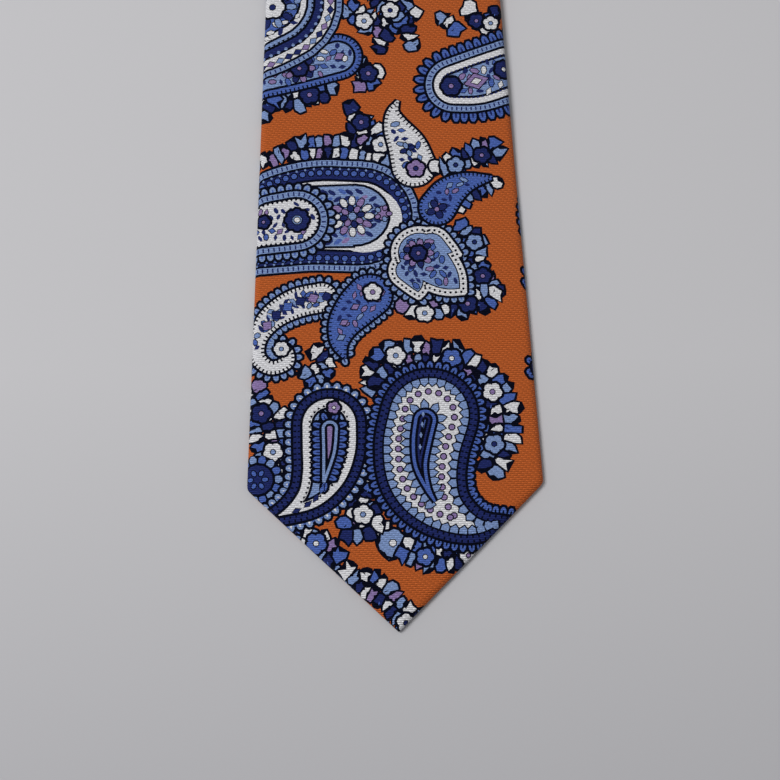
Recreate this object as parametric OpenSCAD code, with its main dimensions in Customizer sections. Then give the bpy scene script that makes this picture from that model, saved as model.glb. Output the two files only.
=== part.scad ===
// A printed silk necktie, laid flat and folded once at the neck.
// The front blade lies on top with its face up, and the tail blade lies under it with its face down.
// +Y runs from the front tip to the neck fold, +X across the blade and +Z up, in millimetres.
// The origin is the middle of the footprint, on the surface that the tie lies on.
// "From tip" distances run along a blade from its own tip, and heights above a back run from that
// blade's back surface towards its face.

/* [Lengths] */
// Length of the whole tie, tip to tip
tie_length = 1480; // [1440:10:1520]
// Front tip to neck fold
front_length = 880; // [870:5:900]
// Front tip to the middle of the slanted join with the neck piece
front_join_at = 700; // [660:10:720]
// Tail tip to the middle of the slanted join with the neck piece
tail_join_at = 370; // [340:10:400]

/* [Widths] */
// Front blade across its two corners
blade_w = 95; // [85:1:100]
// Neck band
neck_w = 33; // [30:1:38]
// Tail blade across its two corners
tail_w = 56; // [50:1:64]

/* [Layers] */
// Thickness of a finished blade
blade_t = 3.0; // [2.8:0.1:3.4]
// Silk over the face and over the back, with its turned edges
silk_t = 0.45; // [0.4:0.05:0.5]
// Silk and seam round the rolled side edge
edge_t = 0.8; // [0.6:0.1:1.0]
// Clear height between the two blades where one lies on the other
blade_gap = 0.8; // [0.7:0.1:1.2]

/* [Sewn details] */
// Margin of silk round the tipping at the front tip
front_hem = 8; // [6:0.5:10]
// Margin of silk round the tipping at the tail tip
tail_hem = 7; // [5:0.5:9]
// Front tip to where the two folds of silk meet
front_opening = 203; // [190:1:205]
// Tail tip to where the two folds of silk meet
tail_opening = 85; // [75:1:95]
// Keeper loop across the blade
keeper_span = 42; // [38:1:46]
// Keeper loop along the blade
keeper_w = 12; // [10:1:14]
// Brand label across the blade
brand_label_w = 44; // [36:1:46]
// Brand label along the blade
brand_label_l = 20; // [16:1:22]
// Care label across the blade
care_label_w = 14; // [12:1:18]
// Care label along the blade
care_label_l = 25; // [20:1:28]

/* [Hidden] */
$fn = 32;

root_two = sqrt(2);
tail_length = tie_length - front_length;
front_tip_y = -front_length / 2;
fold_y = front_length / 2;
tail_tip_y = fold_y - tail_length;

// Each half ends this far short of the fold, so that they clear each other as the fold opens
fold_clear = 0.2;
front_end = front_length - fold_clear;
tail_end = tail_length - fold_clear;

// Where each blade has narrowed to the neck band, from its tip
front_neck_from = 800;
tail_neck_from = 480;

// The front blade's back rises over the keeper loop, then over the tail
keeper_rise = 1.0;
keeper_rise_from = 150;
keeper_rise_to = 200;
tail_rise_from = 240;
tail_rise_to = 278;
tail_rise = blade_t + blade_gap - keeper_rise;
steps_per_rise = 6;

// Heights above a blade's back
tipping_bottom = 0.55;
tipping_t = 0.3;
interlining_bottom = 1.0;
interlining_top = 2.1;
join_thread_mid = 2.33;
slit_w = 0.6;

// Threads and small pieces on the front blade's back, with distances from its tip
stitch_r = 0.12;
stitch_l = 3.2;
stitch_pitch = 20;
stitch_slant = 35;
thread_r = 0.15;
front_bar_tack_at = 212;
tail_bar_tack_at = 89;
bar_tack_l = 9;
bar_tack_w = 1.2;
bar_tack_t = 0.4;
keeper_at = 232;
keeper_silk_t = 0.5;
keeper_gap = 0.35;
keeper_leg = 1.5;
label_t = 0.3;
brand_label_at = 73;
care_label_top_at = 205;
care_label_z = 0.25;

silk_orange = [0.78, 0.37, 0.15];
silk_navy = [0.10, 0.13, 0.38];
wool_cream = [0.86, 0.83, 0.75];
lining_navy = [0.08, 0.10, 0.28];
label_white = [0.92, 0.92, 0.90];
thread_orange = [0.70, 0.30, 0.10];

function eased(t) = let (c = min(max(t, 0), 1)) c * c * (3 - 2 * c);

// Height of the front blade's back above the surface, at a distance from its tip
function back_z(s) =
    keeper_rise * eased((s - keeper_rise_from) / (keeper_rise_to - keeper_rise_from))
    + tail_rise * eased((s - tail_rise_from) / (tail_rise_to - tail_rise_from));

function between(a, b, n) = [for (i = [0:n]) a + (b - a) * i / n];

// Distances from the front tip at which the layers bend
front_stations = concat(
    [-1],
    between(keeper_rise_from, keeper_rise_to, steps_per_rise),
    between(tail_rise_from, tail_rise_to, steps_per_rise),
    [front_end]
);

// Outline of a blade with a right-angled tip, inset all round, as [across, from tip]
function right_side(half_w, neck_from, end, inset) = [
    [0, inset * root_two],
    [half_w - inset, half_w + inset * (root_two - 1)],
    [neck_w / 2 - inset, neck_from],
    [neck_w / 2 - inset, end]
];
function mirrored(points) = [for (i = [len(points) - 1:-1:0]) [-points[i].x, points[i].y]];
function blade(half_w, neck_from, end, inset) =
    let (side = right_side(half_w, neck_from, end, inset)) concat(side, mirrored(side));

// Opening between the two folds of silk on a blade's back, where the tipping shows
function opening(half_w, hem, apex) =
    let (x = 0.62 * half_w, widest = half_w + 12)
    [
        [0, hem * root_two],
        [x, x + hem * root_two],
        [x, widest],
        [slit_w / 2, apex],
        [-slit_w / 2, apex],
        [-x, widest],
        [-x, x + hem * root_two]
    ];

module at_front(s = 0) { translate([0, front_tip_y + s, 0]) children(); }
module at_tail(s = 0) { translate([0, tail_tip_y + s, 0]) children(); }

// A layer of the front blade: a plan outline between two heights above the back
module front_layer(low, high) {
    profile = concat(
        [for (s = front_stations) [s, back_z(s) + low]],
        [for (i = [len(front_stations) - 1:-1:0]) [front_stations[i], back_z(front_stations[i]) + high]]
    );
    at_front() intersection() {
        rotate([90, 0, 90]) linear_extrude(height = 2 * blade_w, center = true) polygon(profile);
        translate([0, 0, -10]) linear_extrude(height = 30) children();
    }
}

// A layer of the tail blade, whose back faces up
module tail_layer(low, high) {
    at_tail() translate([0, 0, blade_t - high]) linear_extrude(height = high - low) children();
}

module front_silk() {
    difference() {
        front_layer(0, blade_t)
            polygon(blade(blade_w / 2, front_neck_from, front_end, 0));
        front_layer(silk_t, blade_t - silk_t)
            polygon(blade(blade_w / 2, front_neck_from, front_end + 5, edge_t));
        front_layer(-1, silk_t + 0.1)
            polygon(opening(blade_w / 2, front_hem, front_opening));
        front_layer(-1, silk_t + 0.1)
            translate([-slit_w / 2, front_opening - 1]) square([slit_w, front_length]);
    }
}

module tail_silk() {
    difference() {
        tail_layer(0, blade_t)
            polygon(blade(tail_w / 2, tail_neck_from, tail_end, 0));
        tail_layer(silk_t, blade_t - silk_t)
            polygon(blade(tail_w / 2, tail_neck_from, tail_end + 5, edge_t));
        tail_layer(-1, silk_t + 0.1)
            polygon(opening(tail_w / 2, tail_hem, tail_opening));
        tail_layer(-1, silk_t + 0.1)
            translate([-slit_w / 2, tail_opening - 1]) square([slit_w, tail_length]);
    }
}

// Everything on one side of a slanted join, as a block to intersect with
module join_side(side, gap = 0.1) {
    rotate([0, 0, 45]) translate([-1500, side > 0 ? gap : -3000 - gap, -50]) cube([3000, 3000, 100]);
}

module front_shell() {
    color(silk_orange) intersection() {
        front_silk();
        at_front(front_join_at) join_side(-1);
    }
}

module front_neck_shell() {
    color(silk_orange) intersection() {
        front_silk();
        at_front(front_join_at) join_side(1);
    }
}

module tail_shell() {
    color(silk_orange) intersection() {
        tail_silk();
        at_tail(tail_join_at) join_side(-1);
    }
}

module tail_neck_shell() {
    color(silk_orange) intersection() {
        tail_silk();
        at_tail(tail_join_at) join_side(1);
    }
}

module front_interlining() {
    color(wool_cream) front_layer(interlining_bottom, interlining_top)
        polygon(blade(blade_w / 2, front_neck_from, front_end, edge_t + 0.4));
}

module tail_interlining() {
    color(wool_cream) tail_layer(interlining_bottom, interlining_top)
        polygon(blade(tail_w / 2, tail_neck_from, tail_end, edge_t + 0.4));
}

// Tipping reaches past the meeting of the folds, where their seam holds it
tipping_past = 12;

module front_tipping() {
    color(lining_navy) front_layer(tipping_bottom, tipping_bottom + tipping_t)
        intersection() {
            polygon(blade(blade_w / 2, front_neck_from, front_end, edge_t + 1));
            translate([-blade_w, 0]) square([2 * blade_w, front_opening + tipping_past]);
        }
}

module tail_tipping() {
    color(lining_navy) tail_layer(tipping_bottom, tipping_bottom + tipping_t)
        intersection() {
            polygon(blade(tail_w / 2, tail_neck_from, tail_end, edge_t + 1));
            translate([-tail_w, 0]) square([2 * tail_w, tail_opening + tipping_past]);
        }
}

// Half the blade's width at a distance from its tip
function half_width(s, half_w, neck_from) =
    half_w - (half_w - neck_w / 2) * min(max((s - half_w) / (neck_from - half_w), 0), 1);

// A straight thread that closes a slanted join, under the face silk
module join_thread(half_w) {
    reach = (half_w - edge_t - 0.6) * root_two;
    rotate([0, 0, 45]) rotate([0, 90, 0]) cylinder(r = thread_r, h = 2 * reach - 3, center = true);
}

module front_join_thread() {
    color(thread_orange) at_front(front_join_at)
        translate([0, 0, back_z(front_join_at) + join_thread_mid])
            join_thread(half_width(front_join_at + neck_w / 2, blade_w / 2, front_neck_from));
}

module tail_join_thread() {
    color(thread_orange) at_tail(tail_join_at)
        translate([0, 0, blade_t - join_thread_mid])
            join_thread(half_width(tail_join_at + neck_w / 2, tail_w / 2, tail_neck_from));
}

// Slip stitches close the slit between the folds, each a short slanted thread on the back
module slip_stitch() {
    rotate([0, 0, stitch_slant]) rotate([0, 90, 0])
        cylinder(r = stitch_r, h = stitch_l, center = true);
}

module front_slip_stitches() {
    color(silk_navy) for (s = [keeper_at + 2 * stitch_pitch:stitch_pitch:front_length - stitch_pitch])
        at_front(s) translate([0, 0, back_z(s) - stitch_r - 0.01]) slip_stitch();
}

module tail_slip_stitches() {
    color(silk_navy) for (s = [tail_bar_tack_at + stitch_pitch:stitch_pitch:tail_length - stitch_pitch])
        at_tail(s) translate([0, 0, blade_t + stitch_r + 0.01]) slip_stitch();
}

// A bar tack is a short thick bar of thread across the seam
module bar_tack() {
    cube([bar_tack_l, bar_tack_w, bar_tack_t], center = true);
}

module front_bar_tack() {
    color(silk_navy) at_front(front_bar_tack_at)
        translate([0, 0, back_z(front_bar_tack_at) - bar_tack_t / 2 - 0.01]) bar_tack();
}

module tail_bar_tack() {
    color(silk_navy) at_tail(tail_bar_tack_at)
        translate([0, 0, blade_t + bar_tack_t / 2 + 0.01]) bar_tack();
}

// The keeper loop is a band under the back, turned up to it at both ends
module keeper_loop() {
    half = keeper_span / 2;
    drop = keeper_silk_t + keeper_gap;
    top = back_z(keeper_at) - 0.01;
    band = [
        [-half, top], [-half, top - drop], [half, top - drop], [half, top],
        [half - keeper_leg, top], [half - keeper_leg, top - keeper_gap],
        [-half + keeper_leg, top - keeper_gap], [-half + keeper_leg, top]
    ];
    color(silk_orange) at_front(keeper_at) rotate([90, 0, 0])
        linear_extrude(height = keeper_w, center = true) polygon(band);
}

module keeper_loop_tacks() {
    color(silk_navy) for (side = [-1, 1])
        at_front(keeper_at)
            translate([side * (keeper_span / 2 + 0.35), 0, back_z(keeper_at) - 0.3])
                cube([0.6, keeper_w - 3, 0.5], center = true);
}

module brand_label() {
    color(label_white) at_front(brand_label_at)
        translate([0, 0, tipping_bottom - 0.02 - label_t / 2])
            cube([brand_label_w, brand_label_l, label_t], center = true);
}

module brand_label_stitches() {
    color(label_white) for (side = [-1, 1])
        at_front(brand_label_at)
            translate([side * (brand_label_w / 2 + 0.3), 0, tipping_bottom - 0.14])
                cube([0.5, brand_label_l - 1, 0.24], center = true);
}

// The care label hangs from its top edge and lies on the back
module care_label() {
    color(label_white) at_front(care_label_top_at)
        translate([-care_label_w / 2, -care_label_l, care_label_z - label_t / 2])
            cube([care_label_w, care_label_l, label_t]);
}

module care_label_tack() {
    color(silk_navy) at_front(care_label_top_at + 0.8)
        translate([0, 0, back_z(care_label_top_at) - 0.3])
            cube([care_label_w - 3, 0.8, 0.5], center = true);
}

front_shell();
front_neck_shell();
front_interlining();
front_tipping();
front_join_thread();
front_slip_stitches();
front_bar_tack();
keeper_loop();
keeper_loop_tacks();
brand_label();
brand_label_stitches();
care_label();
care_label_tack();
tail_shell();
tail_neck_shell();
tail_interlining();
tail_tipping();
tail_join_thread();
tail_slip_stitches();
tail_bar_tack();
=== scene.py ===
"""A printed silk necktie, laid flat and folded once at the neck.

Cloth is worked out in millimetres and turned into metres when a mesh is made.
"across" is x, and "along" (v) is the distance from a blade's own tip.
The print is cut into the cloth's own mesh, so each colour is a plain material on its own faces.
"""

import math

import bpy
import numpy as np
from mathutils import Matrix, Vector
from mathutils.geometry import delaunay_2d_cdt


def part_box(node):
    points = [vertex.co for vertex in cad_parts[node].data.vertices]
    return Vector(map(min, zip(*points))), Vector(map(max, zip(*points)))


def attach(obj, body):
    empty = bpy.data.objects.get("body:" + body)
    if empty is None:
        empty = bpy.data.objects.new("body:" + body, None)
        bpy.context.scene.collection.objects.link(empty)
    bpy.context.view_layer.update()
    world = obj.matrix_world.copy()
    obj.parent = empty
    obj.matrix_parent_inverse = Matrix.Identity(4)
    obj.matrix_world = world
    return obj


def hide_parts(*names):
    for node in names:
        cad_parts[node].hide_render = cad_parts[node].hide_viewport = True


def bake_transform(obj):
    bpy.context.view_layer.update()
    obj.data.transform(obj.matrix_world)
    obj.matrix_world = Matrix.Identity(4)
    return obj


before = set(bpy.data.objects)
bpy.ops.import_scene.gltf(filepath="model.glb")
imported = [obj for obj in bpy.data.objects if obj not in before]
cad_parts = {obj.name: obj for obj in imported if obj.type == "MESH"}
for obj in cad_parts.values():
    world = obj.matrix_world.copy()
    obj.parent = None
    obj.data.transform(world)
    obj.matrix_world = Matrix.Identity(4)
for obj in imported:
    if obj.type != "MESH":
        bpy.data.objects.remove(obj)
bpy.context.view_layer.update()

MM = 0.001
BIG = 2000.0
ROOT_TWO = math.sqrt(2)

# ---------------------------------------------------------------- sizes, as in the CAD

FRONT_LENGTH = 880.0
TAIL_LENGTH = 600.0
BLADE_HALF = 47.5
NECK_HALF = 16.5
TAIL_HALF = 28.0
THICK = 3.0
GAP = 0.8
FRONT_NECK_FROM = 800.0
TAIL_NECK_FROM = 480.0
FRONT_JOIN = 700.0
TAIL_JOIN = 370.0
FRONT_HEM = 8.0
TAIL_HEM = 7.0
FRONT_APEX = 203.0
TAIL_APEX = 85.0
SLIT = 0.6
TIPPING_PAST = 12.0
KEEPER_AT = 232.0
KEEPER_SPAN = 42.0
KEEPER_WIDE = 12.0
FRONT_TACK_AT = 212.0
TAIL_TACK_AT = 89.0
BRAND_AT = 73.0
BRAND_SIZE = (44.0, 20.0)
CARE_TOP_AT = 205.0
CARE_SIZE = (14.0, 25.0)

FRONT_TIP_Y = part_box("front_shell")[0].y / MM
TAIL_TIP_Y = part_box("tail_shell")[0].y / MM
FOLD_Y = FRONT_TIP_Y + FRONT_LENGTH


def eased(t):
    c = np.clip(t, 0, 1)
    return c * c * (3 - 2 * c)


def back_z(v):
    """Height of the front blade's back above the table."""
    return eased((v - 150) / 50) + (THICK + GAP - 1) * eased((v - 240) / 38)


# ---------------------------------------------------------------- print: plane shapes

ORANGE, NAVY, INK, MID, SKY, WHITE, LILAC = range(7)
LINE = 0.86
FINE_LINE = 0.3
DOT_LINE = 0.42
POINTED = 0.05


def turned(points, angle):
    c, s = math.cos(angle), math.sin(angle)
    return points @ np.array([[c, s], [-s, c]])


def ellipse(centre, across, along, angle=0.0, n=10):
    a = np.arange(n) * 2 * math.pi / n + 0.3
    points = np.stack([along * np.cos(a), across * np.sin(a)], 1)
    return turned(points, angle) + centre


def disc(centre, radius, n=8):
    return ellipse(centre, radius, radius, n=n)


def lozenge(centre, across, along, angle=0.0):
    points = np.array([[along, 0], [0, across], [-along, 0], [0, -across]], float)
    return turned(points, angle) + centre


def block(x0, y0, x1, y1):
    """A rectangle between two corners."""
    return np.array([[x0, y0], [x1, y0], [x1, y1], [x0, y1]], float)


def signed_area(polygon):
    """The area of a polygon, above 0 when it runs anticlockwise."""
    after = np.roll(polygon, -1, 0)
    return np.sum(polygon[:, 0] * after[:, 1] - polygon[:, 1] * after[:, 0]) / 2


def grown(polygon, by):
    """A polygon moved outwards by a distance, for the dark line round a shape."""
    before, after = np.roll(polygon, 1, 0), np.roll(polygon, -1, 0)
    e1, e2 = polygon - before, after - polygon
    e1 = e1 / np.maximum(np.linalg.norm(e1, axis=1), 1e-6)[:, None]
    e2 = e2 / np.maximum(np.linalg.norm(e2, axis=1), 1e-6)[:, None]
    n = np.stack([e1[:, 1] + e2[:, 1], -e1[:, 0] - e2[:, 0]], 1)
    length = np.maximum(np.linalg.norm(n, axis=1), 0.9)
    side = 1.0 if signed_area(polygon) > 0 else -1.0
    return polygon + n / length[:, None] * by * side * np.minimum(2 / length, 1.3)[:, None]


def outlined(polygon, colour, line=LINE):
    return [(grown(polygon, line), INK), (polygon, colour)]


def stacked(outlined_shapes):
    """Draws every dark line first, so that neighbours share it."""
    return [s[0] for s in outlined_shapes] + [s[1] for s in outlined_shapes]


def smooth_path(points, per=7):
    """A curve through given (x, y, radius) points, a Catmull-Rom spline."""
    p = np.array(points, float)
    p = np.vstack([2 * p[0] - p[1], p, 2 * p[-1] - p[-2]])
    out = []
    for i in range(1, len(p) - 2):
        for k in range(per):
            t = k / per
            slope = (p[i + 1] - p[i - 1]) * t
            square = (2 * p[i - 1] - 5 * p[i] + 4 * p[i + 1] - p[i + 2]) * t * t
            cube = (3 * p[i] - p[i - 1] - 3 * p[i + 1] + p[i + 2]) * t**3
            out.append(0.5 * (2 * p[i] + slope + square + cube))
    out.append(p[-2])
    return np.array(out)


def swept(points, inset=0.0, per=7, cap=14):
    """The outline of a circle that rolls along a path as its radius changes: a boteh, for most paths."""
    p = smooth_path(points, per)
    r = p[:, 2] - inset
    small = np.nonzero(r <= POINTED)[0]
    if len(small) and small[0] > 1:
        k = small[0]
        f = (r[k - 1] - POINTED) / max(r[k - 1] - r[k], 1e-6)
        last = p[k - 1] + (p[k] - p[k - 1]) * f
        p = np.vstack([p[:k], last])
        r = np.append(r[:k], POINTED)
    elif len(small):
        return ellipse(p[0, :2], 0.1, 0.1)
    xy = p[:, :2]
    step = np.gradient(xy, axis=0)
    ds = np.maximum(np.linalg.norm(step, axis=1), 1e-6)
    t = step / ds[:, None]
    n = np.stack([-t[:, 1], t[:, 0]], 1)
    k = np.clip(np.gradient(r) / ds, -0.9, 0.9)
    lift = np.sqrt(1 - k * k)
    left = xy + r[:, None] * (-k[:, None] * t + lift[:, None] * n)
    right = xy + r[:, None] * (-k[:, None] * t - lift[:, None] * n)
    a0 = math.atan2(*(right[0] - xy[0])[::-1])
    a1 = math.atan2(*(left[0] - xy[0])[::-1])
    while a1 > a0:
        a1 -= 2 * math.pi
    a = np.linspace(a0, a1, cap + 2)[1:-1]
    head = xy[0] + r[0] * np.stack([np.cos(a), np.sin(a)], 1)
    return np.vstack([left, right[::-1], head])


def along(polygon, spacing):
    """Evenly spaced points on a closed outline, each with its outward direction."""
    e = np.roll(polygon, -1, 0) - polygon
    length = np.linalg.norm(e, axis=1)
    total = length.sum()
    count = max(3, round(total / spacing))
    marks = (np.arange(count) + 0.5) * total / count
    ends = np.cumsum(length)
    side = 1.0 if signed_area(polygon) > 0 else -1.0
    found = []
    for m in marks:
        i = min(int(np.searchsorted(ends, m)), len(ends) - 1)
        f = (m - ends[i] + length[i]) / max(length[i], 1e-9)
        d = e[i] / max(length[i], 1e-9)
        found.append((polygon[i] + e[i] * f, np.array([d[1], -d[0]]) * side))
    return found


def direction(n):
    return math.atan2(n[1], n[0])


def ray(angle):
    return np.array([math.cos(angle), math.sin(angle)])


# ---------------------------------------------------------------- print: ornament


def boteh(points, bands):
    """Nested bands of a boteh, from the outside in, with a dark line before each."""
    shapes, inset = [], 0.0
    for colour, width in bands:
        shapes.append((swept(points, inset - LINE), INK))
        shapes.append((swept(points, inset), colour))
        inset += width + LINE
    return shapes


def fringe(points, spacing, size, colour, notch=NAVY, inset=0.0):
    """Round petals that stand out from an outline."""
    petals, notches = [], []
    for p, n in along(swept(points, inset), spacing):
        a = direction(n)
        petals.append(outlined(ellipse(p + n * size * 0.45, spacing * 0.40, size * 0.55, a, 9), colour))
        notches.append((ellipse(p + n * size * 0.35, spacing * 0.13, size * 0.34, a, 6), notch))
    return stacked(petals) + notches


def dots(points, inset, spacing, radius, colour, ring=True):
    shapes = []
    for p, _ in along(swept(points, inset), spacing):
        if ring:
            shapes.append((disc(p, radius + DOT_LINE), INK))
        shapes.append((disc(p, radius, 7), colour))
    return shapes


def repeated(shape, points, inset, spacing, colour):
    """A shape set along an outline and turned with it."""
    places = along(swept(points, inset), spacing)
    return [(turned(shape, direction(n)) + p, colour) for p, n in places]


def dashes(points, inset, spacing, length, width, colour):
    """Short bars square to an outline."""
    bar = block(-length, -width, length, width) / 2
    return repeated(bar, points, inset, spacing, colour)


def teeth(points, inset, spacing, size, colour):
    """Triangles that point inwards from an outline."""
    tooth = np.array([[0, -spacing * 0.36], [0, spacing * 0.36], [-size, 0]])
    return repeated(tooth, points, inset, spacing, colour)


def floret(centre, radius, petal, eye=LILAC, petals=5, phase=0.0, ring=None):
    """A small flower: round petals about an eye."""
    centre = np.array(centre, float)
    shapes = []
    reach = radius * 0.58
    wide = radius * min(0.95 * math.sin(math.pi / petals), 0.46)
    for i in range(petals):
        a = phase + 2 * math.pi * i / petals
        c = centre + reach * ray(a)
        shapes.append(outlined(ellipse(c, wide, radius * 0.42, a, 8), petal))
    made = stacked(shapes)
    if ring is not None:
        made += outlined(disc(centre, radius * 0.40), ring, FINE_LINE)
    return made + outlined(disc(centre, radius * 0.24, 7), eye, FINE_LINE)


DECK = [NAVY, WHITE, SKY, MID, WHITE, MID, SKY, WHITE, LILAC, SKY, NAVY, WHITE]


def cell(centre, others, longest, rng):
    """The room between a leaf's neighbours, and the notched leaf that lies in it."""
    angles = np.arange(11) * 2 * math.pi / 11 + rng.random() * 6
    ways = np.stack([np.cos(angles), np.sin(angles)], 1)
    reach = longest * (0.58 + 0.42 * rng.random(11) ** 1.4)
    for other in others:
        gap = other - centre
        facing = ways @ gap
        limit = np.where(facing > 1e-6, (gap @ gap) / 2 / np.maximum(facing, 1e-6), 99)
        reach = np.minimum(reach, limit)
    reach = np.maximum(reach - LINE * 0.45, 0.35)
    notched = reach * np.where(rng.random(11) < 0.2, 0.55, 1.0)
    return centre + ways * (reach + LINE)[:, None], centre + ways * notched[:, None]


LEAF_WIDE, LEAF_LONG = 0.86, 1.3


def leaf_places(p, run, size, rng):
    """Rows of points across a strip, a leaf's width apart along it and a leaf's length apart across it."""

    def at(s):
        return np.array([np.interp(s, run, p[:, i]) for i in range(3)])

    places = []
    for s in np.arange(-0.4 * p[0, 2], run[-1] + 0.4 * p[-1, 2], LEAF_WIDE * size):
        inside = min(max(s, 0), run[-1])
        x, y, radius = at(inside)
        ahead = (at(min(inside + 0.5, run[-1])) - at(max(inside - 0.5, 0)))[:2]
        ahead = ahead / np.linalg.norm(ahead)
        rows = max(1, round(2 * radius / (LEAF_LONG * size)))
        for k in range(rows):
            off = ((2 * k + 1) / rows - 1) * radius
            c = np.array([x, y]) + ahead * (s - inside) + off * np.array([-ahead[1], ahead[0]])
            places.append(c + (rng.random(2) - 0.5) * size * 0.4)
    return np.array(places)


def leaf_bed(places, size, rng):
    """A leaf at each place, in a colour that its neighbours don't have, and a vein on some."""
    leaves, veins, used = [], [], []
    for i, c in enumerate(places):
        far = np.linalg.norm(places - c, axis=1)
        near = [k for k in np.argsort(far)[1:9] if far[k] < 2.4 * size]
        taken = {used[k] for k in near if k < i and far[k] < 1.25 * size}
        start = int(rng.integers(0, len(DECK)))
        choice = DECK[start:] + DECK[:start]
        colour = next((q for q in choice if q not in taken), choice[0])
        used.append(colour)
        room, leaf = cell(c, places[near], LEAF_LONG * size, rng)
        leaves.append([(room, INK), (leaf, colour)])
        if rng.random() < 0.4:
            a = rng.random() * 6.3
            tip = c + 0.34 * size * ray(a)
            veins.append((ellipse(tip, 0.20, size * 0.22, a, 5), INK if colour != NAVY else MID))
    return stacked(leaves) + veins


def bed(path, seed, size=3.3, every=5, flower=3.0):
    """Leaves packed side by side across a strip as wide as the path's circles, with florets on it."""
    rng = np.random.default_rng(seed)
    size = size * 0.97
    p = smooth_path(path, 6)
    run = np.concatenate([[0], np.cumsum(np.linalg.norm(np.diff(p[:, :2], axis=0), axis=1))])
    shapes = leaf_bed(leaf_places(p, run, size, rng), size, rng)
    count = max(1, round(run[-1] / (every * size * 0.8))) if every else 0
    for i in range(count):
        m = run[-1] * (i + 0.5) / count
        c = np.array([np.interp(m, run, p[:, 0]), np.interp(m, run, p[:, 1])])
        c = c + (rng.random(2) - 0.5) * 2.0
        petal = [WHITE, SKY, NAVY, WHITE, MID][(i + seed) % 5]
        eye = [LILAC, NAVY, LILAC, SKY, WHITE][(i + seed) % 5]
        shapes += floret(c, flower, petal, eye, 5, rng.random() * 6)
    return shapes


MARKS = [NAVY, MID, NAVY, LILAC, NAVY, WHITE]


def field(points, inset, pitch, seed, colours=MARKS, size=0.5):
    """Small leaves, bars and lozenges strewn over a boteh's middle."""
    rng = np.random.default_rng(seed)
    p = smooth_path(points)
    low, high = p[:, :2].min(0) - 25, p[:, :2].max(0) + 25
    shapes = []
    for j, y in enumerate(np.arange(low[1], high[1], pitch * 0.87)):
        for x in np.arange(low[0] + (j % 2) * pitch / 2, high[0], pitch):
            c = np.array([x, y]) + (rng.random(2) - 0.5) * pitch * 0.3
            if (np.linalg.norm(p[:, :2] - c, axis=1) - p[:, 2]).min() > -inset - pitch * size * 0.6:
                continue
            a = rng.random() * 3.2
            wide = pitch * size * (0.42 + 0.2 * rng.random())
            long = pitch * size * (0.75 + 0.35 * rng.random())
            kind = rng.integers(0, 3)
            mark = lozenge(c, wide, long, a) if kind == 0 else ellipse(c, wide, long, a, 6)
            colour = colours[int(rng.integers(0, len(colours)))]
            shapes += [(mark, NAVY)] if colour == NAVY else outlined(mark, colour, FINE_LINE)
    return shapes


def claws(points, inset, spacing, size, colour):
    """Slanted leaves side by side along an outline. They reach inwards, or outwards with a size below 0."""
    half = spacing * 0.40
    leaf = [(0, -half), (0, half), (-0.6 * size, half), (-size, 0.2 * half), (-0.55 * size, -half)]
    leaves = repeated(np.array(leaf), points, inset, spacing, colour)
    return stacked([outlined(p, c, DOT_LINE) for p, c in leaves])


def ring_of(centre, radius, count, colours, across=0.9, along_it=1.5, phase=0.0):
    """Petals set round a point."""
    shapes = []
    for i in range(count):
        a = phase + 2 * math.pi * i / count
        c = np.array(centre, float) + radius * ray(a)
        shapes.append(outlined(ellipse(c, across, along_it, a, 7), colours[i % len(colours)], 0.35))
    return stacked(shapes)


# ---------------------------------------------------------------- print: one repeat

REPEAT_ACROSS = 123.0
REPEAT_ALONG = 214.0


def large_boteh():
    """Navy-bordered boteh with a white field of ringed dots."""
    body = [
        (11.6, 70.6, 15.6), (8.8, 60, 15), (9, 49, 13.4),
        (14.5, 39.5, 9.6), (25, 33.4, 5.4), (38, 34.6, 1.2),
    ]
    heart = [(10.2, 69, 3.5), (8.8, 62, 3.1), (8.2, 54, 2.1), (10.2, 46.4, 0.9), (12.6, 41.6, 0.3)]
    around = [
        (-5.4, 86, 4), (-1, 90.4, 4.6), (9, 91.6, 4.4), (20, 89.6, 4.8), (28, 84, 5.4),
        (32, 76, 6.4), (33, 67, 6.8), (32.4, 58, 5.6), (32, 51.4, 3),
    ]
    under = [(4, 26, 3.6), (12, 23, 4), (20, 24, 4.2), (28, 27.6, 3.8)]
    shapes = bed(around, 3, 3.5, 6, 3.2) + bed(under, 4, 3.4, 5, 2.8)
    shapes += [(swept(body, -2.8), INK)]
    shapes += fringe(body, 2.5, 2.9, MID, INK)
    shapes += boteh(body, [(NAVY, 2.3), (SKY, 0.9), (WHITE, 12)])
    shapes += dashes(body, 0.5, 1.9, 0.9, 0.55, INK)
    shapes += dashes(body, 1.9, 1.9, 0.8, 0.55, INK)
    shapes += claws(body, 2.9, 3.0, 2.6, SKY)
    shapes += dots(body, 7.5, 3.4, 0.85, LILAC)
    shapes += claws(heart, -0.2, 2.7, -3.3, SKY)
    shapes += boteh(heart, [(MID, 1.0), (NAVY, 0.6), (MID, 0.4), (NAVY, 6)])
    for centre in ((9.6, 71), (9.2, 67.6), (8.7, 64), (8.3, 60)):
        shapes.append((lozenge(centre, 0.5, 1.0, math.pi / 2), SKY))
    return shapes


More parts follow.
